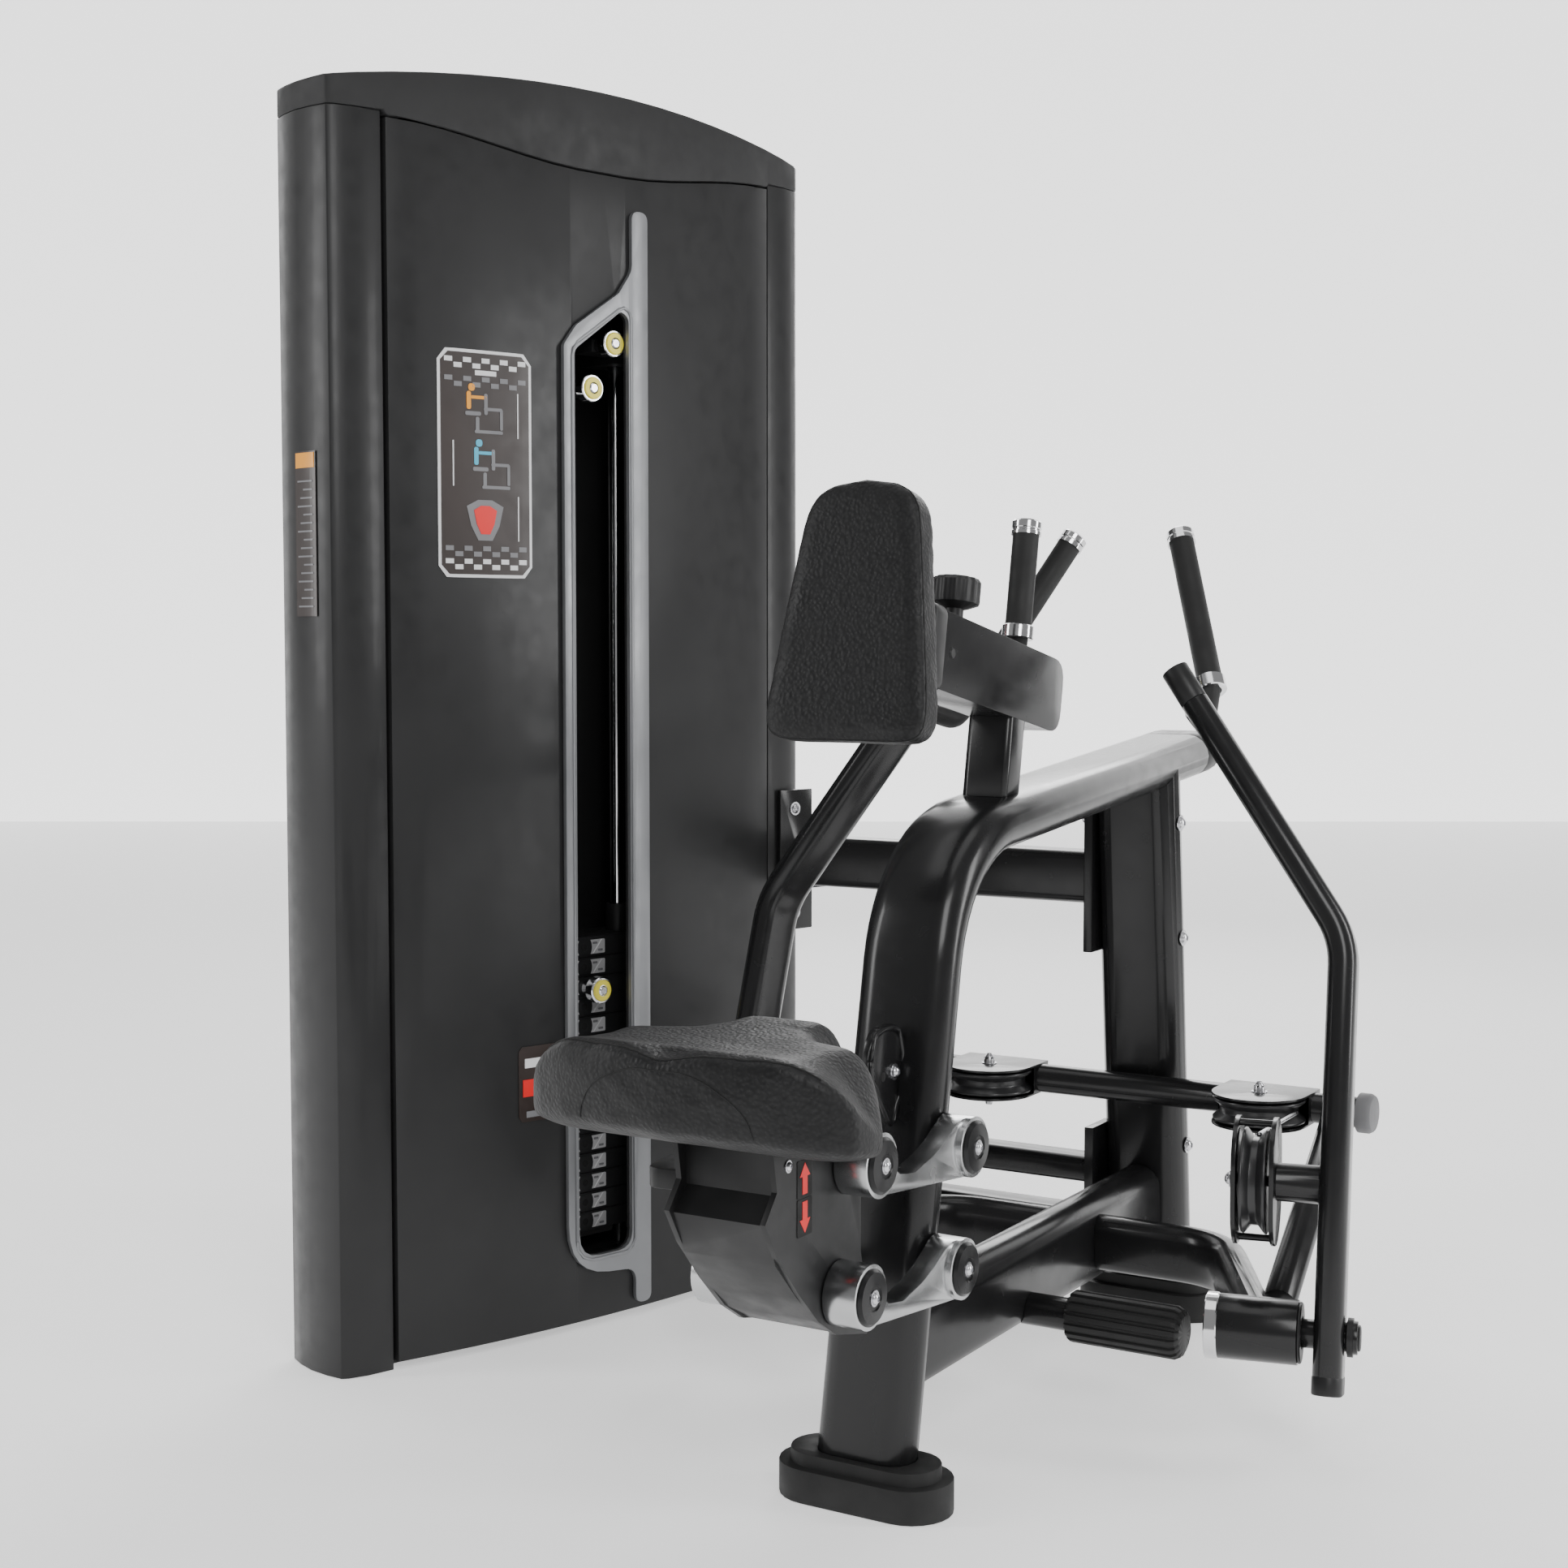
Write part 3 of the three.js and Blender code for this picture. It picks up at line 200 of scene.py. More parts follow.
# near-black used two ways: painted shade inside holes and along upholstery seams, and the real black of the arrow
# cards
PAINTED_SHADE_AND_CARD_BLACK = coated("painted_shade_and_card_black", (0.004, 0.004, 0.004), (0.007, 0.007, 0.007), 0.8)
BOLT = coated("zinc_bolt", (0.58, 0.58, 0.60), (0.70, 0.70, 0.72), 0.28, metallic=1.0, grain=400.0)
LABEL_BROWN = coated("label_brown", (0.020, 0.012, 0.010), (0.028, 0.017, 0.014), 0.4, coat=0.3)
LABEL_WHITE = coated("label_white", (0.72, 0.72, 0.73), (0.80, 0.80, 0.81), 0.4, coat=0.3)
LABEL_GREY = coated("label_grey", (0.16, 0.16, 0.17), (0.22, 0.22, 0.23), 0.45, coat=0.3)
LABEL_SILVER = coated("label_silver", (0.55, 0.55, 0.56), (0.64, 0.64, 0.65), 0.42, metallic=0.35)
YELLOW = coated("yellow_ring", (0.80, 0.68, 0.04), (0.88, 0.76, 0.07), 0.4, coat=0.2)
ORANGE = coated("label_orange", (0.85, 0.33, 0.01), (0.92, 0.38, 0.02), 0.45, coat=0.2)
RED = coated("arrow_red", (0.78, 0.006, 0.006), (0.86, 0.010, 0.010), 0.42, coat=0.2)
BLUE = coated("label_blue", (0.05, 0.42, 0.62), (0.07, 0.48, 0.68), 0.45, coat=0.2)


# ---- meshes ----
def mesh_piece(name, vertices, faces, material, body, smooth=True):
    """A mesh from points in millimetres, riding on a CAD body if one is named."""
    data = bpy.data.meshes.new(name)
    data.from_pydata([tuple(Vector(v) * MM) for v in vertices], [], faces)
    data.materials.append(material)
    data.polygons.foreach_set("use_smooth", [smooth] * len(data.polygons))
    data.update()
    obj = bpy.data.objects.new(name, data)
    bpy.context.scene.collection.objects.link(obj)
    fix = bmesh.new()
    fix.from_mesh(data)
    bmesh.ops.recalc_face_normals(fix, faces=fix.faces)
    fix.to_mesh(data)
    fix.free()
    if body:
        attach(obj, body)
    return obj


def sharpen(obj, angle=35, bevel=0.0):
    """Keeps hard edges crisp and, with a bevel in millimetres, gives them a small round."""
    if bevel:
        rounding = obj.modifiers.new("edge_round", "BEVEL")
        rounding.width = bevel * MM
        rounding.segments = 2
        rounding.limit_method = "ANGLE"
        rounding.angle_limit = math.radians(angle)
    split = obj.modifiers.new("hard_edges", "EDGE_SPLIT")
    split.split_angle = math.radians(angle)
    return obj


def frame_of(axis):
    """Two directions that make a right-handed frame with the axis."""
    axis = axis.normalized()
    side = axis.cross(Z if abs(axis.z) < 0.9 else X).normalized()
    return side, axis.cross(side), axis


def loft(rings, closed_ends=True):
    """Quads between rings of equal length, with the two ends filled."""
    count = len(rings[0])
    vertices = [point for ring in rings for point in ring]
    faces = []
    for r in range(len(rings) - 1):
        for i in range(count):
            j = (i + 1) % count
            faces.append((r * count + i, r * count + j, (r + 1) * count + j, (r + 1) * count + i))
    if closed_ends:
        faces.append(tuple(reversed(range(count))))
        faces.append(tuple(range((len(rings) - 1) * count, len(rings) * count)))
    return vertices, faces


def turned(name, profile, at, axis, material, body, sides=40, wobble=None):
    """A closed solid of revolution from (radius, height) pairs along an axis."""
    side, up, along = frame_of(axis)
    rings = []
    for radius, height in profile:
        ring = []
        for i in range(sides):
            angle = 2 * math.pi * i / sides
            reach = max(radius, 0.01) * (wobble(i, radius) if wobble else 1)
            spoke = side * (reach * math.cos(angle)) + up * (reach * math.sin(angle))
            ring.append(at + spoke + along * height)
        rings.append(ring)
    vertices, faces = loft(rings)
    return sharpen(mesh_piece(name, vertices, faces, material, body), 30)


def collar(name, at, axis, inner, outer, start, end, material, body):
    """A ring with softened rims."""
    sides = 40
    soft = min(1.2, (outer - inner) * 0.4, (end - start) * 0.3)
    profile = [(inner, start), (outer - soft, start), (outer, start + soft), (outer, end - soft),
               (outer - soft, end), (inner, end), (inner, start)]
    side, up, along = frame_of(axis)
    rings = [[at + side * (r * math.cos(a)) + up * (r * math.sin(a)) + along * h
              for a in (2 * math.pi * i / sides for i in range(sides))] for r, h in profile]
    vertices, faces = loft(rings, closed_ends=False)
    return sharpen(mesh_piece(name, vertices, faces, material, body), 40)


def swept(name, route, radius, material, body, sides=14):
    """A round tube through a list of points."""
    rings = []
    for i, point in enumerate(route):
        ahead = route[min(i + 1, len(route) - 1)] - route[max(i - 1, 0)]
        side, up, _ = frame_of(ahead)
        rings.append([point + side * (radius * math.cos(a)) + up * (radius * math.sin(a))
                      for a in (2 * math.pi * k / sides for k in range(sides))])
    vertices, faces = loft(rings)
    return mesh_piece(name, vertices, faces, material, body)


def slab(name, outline, basis, at, depth, material, body, bevel=0.6):
    """A flat plate: an outline of (u, v) pairs in a plane, thickened along the plane's normal."""
    u, v, w = basis
    back = [at + u * a + v * b for a, b in outline]
    front = [point + w * depth for point in back]
    vertices, faces = loft([back, front])
    return sharpen(mesh_piece(name, vertices, faces, material, body, smooth=False), 35, bevel)


def rounded_box(width, height, radius, steps=5):
    points = []
    for k, (sx, sy) in enumerate(((1, 1), (-1, 1), (-1, -1), (1, -1))):
        for i in range(steps + 1):
            angle = (k + i / steps) * math.pi / 2
            points.append((sx * (width / 2 - radius) + radius * math.cos(angle),
                           sy * (height / 2 - radius) + radius * math.sin(angle)))
    return points


def bolt(name, at, axis, body, radius=8.0, head=5.5):
    """A domed button-head bolt on a washer, with a shallow socket."""
    flange = 1.4
    dome = [(radius * math.cos(t), flange + head * math.sin(t)) for t in (i * math.pi / 14 for i in range(6))]
    profile = [(0, 0), (radius * 1.35, 0), (radius * 1.35, flange), (radius, flange)] + dome
    socket = flange + head * 0.35
    profile += [(radius * 0.42, flange + head * 0.93), (radius * 0.38, socket), (0, socket)]
    return turned(name, profile, at, axis, BOLT, body, sides=30)


def nut(name, at, axis, body, radius=8.5):
    """A hexagon nut with a stub of thread."""
    height = 9.0
    side, up, along = frame_of(axis)
    outline = [(radius * math.cos(i * math.pi / 3), radius * math.sin(i * math.pi / 3)) for i in range(6)]
    slab(name, outline, (side, up, along), at, height, BOLT, body, 0.8)
    thread = [(0, 0), (5, 0), (5, height + 5), (4, height + 6.5), (0, height + 6.5)]
    turned(name + "_thread", thread, at, axis, BOLT, body, sides=20)


def mirrored(point, side):
    return Vector((point.x * side, point.y, point.z))


# ---- carried-over CAD nodes ----
NODE_MATERIALS = {
    PANEL: ["front_panel", "rear_panel", "tower_column_near", "tower_column_far", "tower_base"],
    CROWN: ["crown_cap"],
    PLASTIC: ["arch_end_cap", "arm_cap_*", "seat_carriage", "seat_lever", "crosshead"],
    PULLEY: ["crossbar_pulley_*", "arm_pulley_*", "top_pulley", "outer_pulley"],
    RUBBER: ["front_foot", "rear_foot", "handle_*", "centre_grip"],
    GREY_RUBBER: ["crossbar_cap_*"],
    CAST: ["upper_links", "lower_links", "selector_pin"],
    TRIM: ["slot_trim"],
    CHROME: ["pad_slide", "guide_rod_near", "guide_rod_far"],
    IRON: ["weight_stack", "top_plates", "addon_weight_upper", "addon_weight_lower"],
}
BEVELS = {"seat_carriage": 3.0, "seat_lever": 4.0, "crown_cap": 4.0, "front_foot": 4.0, "rear_foot": 4.0,
          "upper_links": 3.0, "lower_links": 3.0, "slot_trim": 3.0, "arch_end_cap": 3.0, "pad_beam": 3.0,
          "arm_cap_right": 3.0, "arm_cap_left": 3.0}
named = {entry.replace("*", side): material for material, names in NODE_MATERIALS.items() for entry in names
         for side in ("right", "left")}
for name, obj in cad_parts.items():
    obj.data.materials.clear()
    obj.data.materials.append(named.get(name, PAINT))
    obj.data.polygons.foreach_set("use_smooth", [True] * len(obj.data.polygons))
    if "custom_normal" in obj.data.attributes:
        obj.data.attributes.remove(obj.data.attributes["custom_normal"])
    weld = obj.modifiers.new("weld", "WELD")
    weld.merge_threshold = 0.00002
    sharpen(obj, 32, BEVELS.get(name, 1.0))


# ---- tower details, placed by distance along the tower, depth and height ----
TOWER_S = Vector((math.cos(TOWER_TURN), math.sin(TOWER_TURN), 0))
TOWER_IN = Vector((-math.sin(TOWER_TURN), math.cos(TOWER_TURN), 0))
TOWER_OUT = -TOWER_IN


def tower(s, depth, z):
    return TOWER_AT + TOWER_S * s + TOWER_IN * depth + Z * z


def panel_depth(s):
    half = TOWER_WIDTH / 2
    return -(PANEL_FRONT + PANEL_BULGE * (1 - ((s - half) / (half - PANEL_EDGE)) ** 2))


def decal(name, outline, s0, z0, lift, material, body="frame", slot="dark_plastic", thickness=0.5,
          surface=panel_depth):
    """A thin shape that follows the front panel's curve: outline in (s, z) about (s0, z0)."""
    back = [tower(s0 + a, surface(s0 + a) - lift, z0 + b) for a, b in outline]
    front = [point + TOWER_OUT * thickness for point in back]
    vertices, faces = loft([back, front])
    return mesh_piece(name, vertices, faces, material, body, smooth=False)


def box_outline(width, height):
    a, b = width / 2, height / 2
    return [(a, b), (-a, b), (-a, -b), (a, -b)]


def panel_sheet(name, width, height, radius, s0, z0, lift, material, thickness):
    """A rounded sheet cut into strips so that it bends with the panel."""
    strips = 12
    vertices, faces = [], []
    for k in range(strips + 1):
        a = -width / 2 + width * k / strips
        inset = max(0.0, abs(a) - (width / 2 - radius))
        b = height / 2 - radius + math.sqrt(max(radius ** 2 - inset ** 2, 0.0))
        for level in (lift, lift + thickness):
            for z in (b, -b):
                vertices.append(tower(s0 + a, panel_depth(s0 + a) - level, z0 + z))
    for k in range(strips):
        p, q = 4 * k, 4 * k + 4
        faces += [(p, p + 1, q + 1, q), (p + 2, q + 2, q + 3, p + 3), (p, q, q + 2, p + 2),
                  (p + 1, p + 3, q + 3, q + 1)]
    faces += [(0, 2, 3, 1), (4 * strips, 4 * strips + 1, 4 * strips + 3, 4 * strips + 2)]
    return mesh_piece(name, vertices, faces, material, "frame", smooth=False)


CARD_S, CARD_Z, CARD_WIDTH, CARD_HEIGHT = 202, 1119, 133, 280
INK_LIFT = 1.8
white_edge = panel_sheet("placard_edge", CARD_WIDTH, CARD_HEIGHT, 14, CARD_S, CARD_Z, 0.3, LABEL_WHITE, 0.8)
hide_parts("instruction_placard")
panel_sheet("placard_face", CARD_WIDTH - 8, CARD_HEIGHT - 8, 11, CARD_S, CARD_Z, 1.2, LABEL_BROWN, 0.5)
CHECK_ROWS = [(127, LABEL_WHITE), (120, LABEL_WHITE), (104, LABEL_GREY), (97, LABEL_GREY), (-104, LABEL_GREY),
              (-111, LABEL_GREY), (-120, LABEL_WHITE), (-127, LABEL_WHITE)]
for row, (level, material) in enumerate(CHECK_ROWS):
    for k in range(row % 2, 9, 2):
        decal(f"placard_check_{row}_{k}", box_outline(11, 6), CARD_S - 52 + 13 * k, CARD_Z + level, INK_LIFT,
              material)
decal("placard_title", box_outline(30, 6), CARD_S, CARD_Z + 112, INK_LIFT, LABEL_WHITE)


def seat_icon(prefix, s0, z0, accent):
    """A generic picture of a rower's bench: seat, pad, frame and an accent bar."""
    strokes = [((-14, 0, 22, 5), LABEL_GREY), ((4, 12, 5, 26), LABEL_GREY), ((14, 6, 26, 4), LABEL_GREY),
               ((26, -6, 4, 26), LABEL_GREY), ((-8, -14, 5, 20), LABEL_GREY), ((8, -22, 40, 4), LABEL_GREY),
               ((-20, 16, 6, 22), accent), ((-16, 32, 9, 9), accent), ((-6, 20, 22, 4), accent)]
    for i, ((a, b, w, h), material) in enumerate(strokes):
        decal(f"{prefix}_{i}", rounded_box(w, h, min(w, h) * 0.4, 3), s0 + a, z0 + b, INK_LIFT, material)


seat_icon("placard_icon_a", CARD_S - 4, CARD_Z + 62, ORANGE)
seat_icon("placard_icon_b", CARD_S + 6, CARD_Z - 6, BLUE)
SHIELD = [(-20, -8), (-10, -26), (10, -26), (20, -8), (26, 16), (10, 24), (-10, 24), (-26, 16)]
decal("placard_icon_c", SHIELD, CARD_S - 2, CARD_Z - 68, INK_LIFT, LABEL_GREY)
shield_core = [(a * 0.62, b * 0.7) for a, b in SHIELD]
decal("placard_icon_c_core", shield_core, CARD_S - 2, CARD_Z - 68, INK_LIFT + 0.6, RED)
for k, (a, b) in enumerate(((46, 62), (-46, 0), (46, -66))):
    decal(f"placard_line_{k}", rounded_box(1.6, 56, 0.7, 2), CARD_S + a, CARD_Z + b, INK_LIFT, LABEL_WHITE)

LOW_CARD_S = 274
panel_sheet("low_placard", 62, 97, 6, LOW_CARD_S, 335, 0.3, LABEL_BROWN, 0.8)
for part, width, height, z, material in (("red", 50, 22, 330, RED), ("bar", 44, 12, 362, LABEL_WHITE),
                                         ("foot", 40, 8, 296, LABEL_GREY)):
    decal(f"low_placard_{part}", box_outline(width, height), LOW_CARD_S, z, 1.3, material)


def column_end(z, depth):
    """The near column's end face bulges outwards between its two creases."""
    return tower(-9.4 * (1 - ((depth - 55) / 55) ** 2) - 0.3, depth, z)


def end_label(name, z0, z1, depth0, depth1, lift, material):
    steps = 8
    depths = [depth0 + (depth1 - depth0) * k / steps for k in range(steps + 1)]
    rings = []
    edge = [(z0, d) for d in depths] + [(z1, d) for d in depths[::-1]]
    for level in (lift, lift + 0.5):
        rings.append([column_end(z, d) - TOWER_S * level for z, d in edge])
    vertices, faces = loft(rings)
    return mesh_piece(name, vertices, faces, material, "frame", smooth=False)


end_label("column_label", 930, 1128, 22, 62, 0.2, LABEL_BROWN)
end_label("column_label_head", 1108, 1126, 24, 60, 0.8, ORANGE)
for k in range(16):
    end_label(f"column_label_line_{k}", 941 + 10 * k, 943 + 10 * k, 27, 56 - 6 * (k % 3), 0.8, LABEL_GREY)

# plate labels: a silver tab with a dark barrel around the pin hole and a fine diagonal
TAB_CENTRE = [(11, 9.8), (-8, 9.8), (-10, 5), (-10.6, 0), (-10, -5), (-8, -9.8), (11, -9.8), (13, -5),
              (13.6, 0), (13, 5)]
TAB_LINE = [(15, -9), (16.4, -9), (31.4, 9), (30, 9)]
PIN_HOLE = [(4.6 * math.cos(t), 4.6 * math.sin(t)) for t in (i * math.pi / 10 for i in range(20))]


def plate_z(k):
    """The height of the label and pin hole of plate k, counted from the lowest."""
    return STACK_FOOT + PLATE_PITCH * (k + 0.5) - 1


def plate_face(s):
    """The depth of the plates' front faces, the same all along the tower."""
    return STACK_FRONT


for k in range(FIXED_PLATES + LIFTED_PLATES):
    body = "frame" if k < FIXED_PLATES else "lifted_plates"
    at = (STACK_S, plate_z(k))
    decal(f"plate_tab_{k}", rounded_box(72, 19, 1.5, 3), *at, 0.15, LABEL_SILVER, body, "cast_silver", 0.7,
          plate_face)
    decal(f"plate_centre_{k}", TAB_CENTRE, *at, 0.9, IRON, body, "dark_iron", 0.4, plate_face)
    decal(f"plate_line_{k}", TAB_LINE, *at, 0.9, LABEL_WHITE, body, "dark_plastic", 0.3, plate_face)
    for i, (a, b) in enumerate(((19, 5), (28, -5), (-17, -5))):
        mark = [(a + c, b + d) for c, d in rounded_box(8, 3, 1, 2)]
        decal(f"plate_mark_{k}_{i}", mark, *at, 0.9, LABEL_GREY, body, "dark_plastic", 0.3, plate_face)
    if k != FIXED_PLATES:
        # each open pin hole gets a flat dark disc: painted shade inside the hole
        decal(f"plate_hole_{k}", PIN_HOLE, *at, 1.35, PAINTED_SHADE_AND_CARD_BLACK, body, "dark_iron", 0.2, plate_face)

KNOBS = [("selector", tower(STACK_S, STACK_FRONT, plate_z(FIXED_PLATES)), 42, "selector_pin"),
         ("addon_upper", tower(406, 0, 1286), 38, "addon_upper"),
         ("addon_lower", tower(370, 0, 1226), 38, "addon_lower")]
for name, at, reach, body in KNOBS:
    collar(f"{name}_rim", at, TOWER_OUT, 14.5, 17.6, reach - 17, reach - 2, CHROME, body)
    collar(f"{name}_ring", at, TOWER_OUT, 7.5, 14.4, reach - 8, reach + 0.4, YELLOW, body)
    button = [(0, 0), (6.5, 0), (6.5, reach), (5, reach + 1.4), (0, reach + 1.4)]
    turned(f"{name}_button", button, at, TOWER_OUT, CHROME, body)

# trim: a raised lip around the window
LIP = [(327, 120), (327, 1262), (329, 1273), (336, 1281), (404, 1328), (412, 1331), (420, 1327), (424, 1318),
       (424, 108), (420, 97), (410, 91), (352, 91), (337, 97), (329, 108)]
lip_route = [tower(a, -48.2, b) for a, b in LIP + LIP[:1]]
swept("trim_lip", lip_route, 2.2, TRIM, "frame")

# crown: an embossed arch on the front face
half = TOWER_WIDTH / 2
arch_line = []
for k in range(41):
    t = math.pi * k / 40
    s = half - 118 * math.cos(t)
    arch_line.append(tower(s, panel_depth(s) + 2.2, 1524 + 50 * min(1.0, math.sin(t) * 2.2) ** 0.8))
swept("crown_emboss", arch_line, 1.6, CROWN, "frame")

for name, s0, z in (("tower_bolt_top", 744, 663), ("tower_bolt_low", 744, 515)):
    bolt(name, tower(s0, -20.2, z), TOWER_OUT, "frame", 7)

# ---- lift cable, from the lifted plates up to the crosshead ----
CABLE_RADIUS = 2.5
LIFT_LOW, LIFT_LENGTH = 548, 928
route = [tower(STACK_S, STACK_MID, LIFT_LOW + LIFT_LENGTH * k / 16) for k in range(17)]
cable = swept("lift_cable", route, CABLE_RADIUS, BOLT, None)
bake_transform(cable)

# ---- frame bolts, on both sides of the rear post ----
for k, (y, z) in enumerate(((741, 664), (755, 512), (780, 232))):
    bolt(f"post_bolt_{k}", Vector((56, y, z)), X, "frame", 8)
    nut(f"post_nut_{k}", Vector((-65, y, z)), -X, "frame")

# ---- pulley bolts ----
FORK_ROOT = ARM_KNEE.lerp(ARM_FOOT, (ARM_KNEE.z - 305) / (ARM_KNEE.z - ARM_FOOT.z))
FORK_OFFSET = 85
CROSS_PULLEY_X, CROSS_PULLEY_Z = 188, 314
SIDES = (("right", 1), ("left", -1))


def grip_cap(start):
    """A grip's end cap with a groove: its profile from the given height on."""
    return [(0, start), (17.6, start), (17.6, start + 4), (16.6, start + 5), (16.6, start + 7), (17.6, start + 8),
            (17.6, start + 15), (15.5, start + 17), (0, start + 17)]


def hinge_axis(side):
    """The arm's hinge axis, pointing away from the machine's middle."""
    return Vector((math.cos(HINGE_SPLAY), math.sin(HINGE_SPLAY) * side, 0)) * side


def fork_centre(side):
    return mirrored(FORK_ROOT, side) - hinge_axis(side) * FORK_OFFSET


for tag, side in SIDES:
    cross = Vector((CROSS_PULLEY_X * side, 681, CROSS_PULLEY_Z))
    bolt(f"cross_bolt_{tag}", cross + Z * 20, Z, "frame", 7.5, 13)
    nut(f"cross_nut_{tag}", cross - Z * 20, -Z, "frame", 8.5)
    axis = hinge_axis(side)
    body = f"{tag}_arm"
    bolt(f"fork_bolt_{tag}", fork_centre(side) - axis * 28, -axis, body, 7)
    hinge = mirrored(HINGE_AT, side)
    collar(f"hinge_ring_{tag}", hinge, axis, 30, 36.2, -132, -118, CHROME, "frame")
    plug = [(0, -133), (28, -133), (29.5, -131), (29.5, -128), (0, -128)]
    turned(f"hinge_plug_{tag}", plug, hinge, axis, PLASTIC, "frame")
    collar(f"housing_lip_{tag}", hinge, axis, 18, 33, -33, -29, PLASTIC, "frame")
    shaft_nut = [(0, 19), (21, 19), (21, 25), (14, 26), (14, 32), (12, 33), (0, 33)]
    turned(f"hinge_nut_{tag}", shaft_nut, hinge, axis, PLASTIC, body)
    # grips: silver collars at both ends and a rubber sleeve between them
    low, high = mirrored(GRIP_BASE, side), mirrored(GRIP_TOP, side)
    along = (high - low).normalized()
    length = (high - low).length
    collar(f"grip_base_{tag}", low, along, 12, 18.6, -7, 11, CHROME, body)
    turned(f"grip_cap_{tag}", grip_cap(length - 16), low, along, CHROME, body)

PAD_OUT = Vector((0, -math.cos(PAD_TILT), math.sin(PAD_TILT)))
PAD_UP = Vector((0, math.sin(PAD_TILT), math.cos(PAD_TILT)))


def pad(behind, up, x=0.0):
    return PAD_CENTRE - PAD_OUT * behind + PAD_UP * up + X * x


centre_base = pad(392, 35.3)
collar("centre_grip_base", centre_base, PAD_UP, 12, 18.6, 13, 29, CHROME, "frame")
turned("centre_grip_cap", grip_cap(136), centre_base, PAD_UP, CHROME, "frame")

# ---- chest pad beam: collar, plug and fluted knob ----
COLLAR_DEPTH = 28


def collar_ring(width, height, radius):
    """A rounded outline at the collar's rear end, and the same one at its front end."""
    far = [pad(150.5, -8) + X * a + PAD_UP * b for a, b in rounded_box(width, height, radius)]
    return far, [point + PAD_OUT * COLLAR_DEPTH for point in far]


outer, near = collar_ring(66, 94, 12)
inner_far, inner_near = collar_ring(44, 68, 6)
vertices, faces = loft([inner_far, outer, near, inner_near, inner_far], closed_ends=False)
sharpen(mesh_piece("beam_collar", vertices, faces, PLASTIC, "frame"), 35, 2.0)
for side in (1, -1):
    turned(f"beam_plug_{side}", [(0, 0), (6, 0), (5, 1.6), (0, 1.6)], pad(176, -8, 28.2 * side), X * side,
           PLASTIC, "frame", sides=20)
FLUTES = 14
KNOB = [(0, 0), (10.5, 0), (10.5, 15), (17, 17), (27, 21), (28, 24), (28, 45), (25, 49), (0, 49.5)]
knob = turned("locking_knob", KNOB, pad(226, 35.3), PAD_UP, PLASTIC, "pad_knob", sides=FLUTES * 8,
              wobble=lambda i, r: 1 - (0.05 * (1 - math.cos(2 * math.pi * i / 8)) / 2 if r > 24 else 0))
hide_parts("pad_knob")

# ---- foot pegs: ribbed rubber sleeves ----
PEG_RIBS = 16
SLEEVE = [(19.4, 81), (28, 81), (30, 84), (30, 209), (27, 215), (20, 218), (0, 218)]
for tag, side in SIDES:
    sleeve = turned(f"ribbed_peg_{tag}", SLEEVE, Vector((0, 350, 118)), X * side, RUBBER, "frame",
                    sides=PEG_RIBS * 8,
                    wobble=lambda i, r: 1 - (0.09 if r > 21 and i % 8 in (0, 1, 7) else 0))
    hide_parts(f"foot_peg_{tag}")

# ---- seat: pivot discs, arrows and the bracket on the post ----
LINK_DISC = [(0, -0.2), (28, -0.2), (28, 1.5), (25, 4.5), (13, 5.5), (12, 4), (0, 4)]
for body, pivots in LINK_PIVOTS.items():
    for k, (y, z) in enumerate(pivots):
        for side in (1, -1):
            at = Vector((LINK_OUTER_X * side, y, z))
            turned(f"{body}_disc_{k}_{side}", LINK_DISC, at, X * side, DISC, body)
            bolt(f"{body}_bolt_{k}_{side}", at + X * side * 3.6, X * side, body, 6, 4)
            collar(f"{body}_inner_{k}_{side}", at, X * side, 14, 30, -35.9, -31, DISC, body)

ARROW = [(-4.5, -15), (4.5, -15), (4.5, 2), (9.5, 2), (0, 15), (-9.5, 2), (-4.5, 2)]
CARRIAGE_HALF = 56
CARD_THICK = 0.7
for side in (1, -1):
    basis = (Y * side, Z, X * side)
    for name, z, flip in (("up", 395, 1), ("down", 358, -1)):
        card_at = Vector((CARRIAGE_HALF * side, -222, z))
        slab(f"arrow_card_{name}_{side}", rounded_box(27, 36, 1.5), basis, card_at, CARD_THICK, PAINTED_SHADE_AND_CARD_BLACK, "seat",
             0)
        slab(f"arrow_{name}_{side}", [(a, b * flip) for a, b in ARROW[::flip]], basis,
             card_at + X * (CARD_THICK * side), 0.4, RED, "seat", 0)
    bolt(f"carriage_bolt_{side}", Vector((CARRIAGE_HALF * side, -252, 412)), X * side, "seat", 4.5, 3)
BRACKET = [(-17, 470), (-14, 484), (-5, 495), (10, 500), (32, 500), (47, 495), (56, 484), (59, 468),
           (60, 445), (57, 430), (46, 410), (37, 394), (31, 392), (24, 399), (-6, 438), (-13, 450), (-16, 460)]
rim = [Vector((12, y * 0.93 + 1.6, 450 + (z - 450) * 0.94)) for y, z in BRACKET + BRACKET[:1]]
swept("bracket_rim", rim, 3.6, PAINT, "frame")
bolt("bracket_bolt", Vector((12, 37, 449)), X, "frame", 6.5)
# the bracket's hole is a thin dark disc: painted shade inside the hole
turned("bracket_hole", [(0, 0), (5, 0), (5, 0.4), (0, 0.4)], Vector((12, 14, 447)), X, PAINTED_SHADE_AND_CARD_BLACK, "frame")

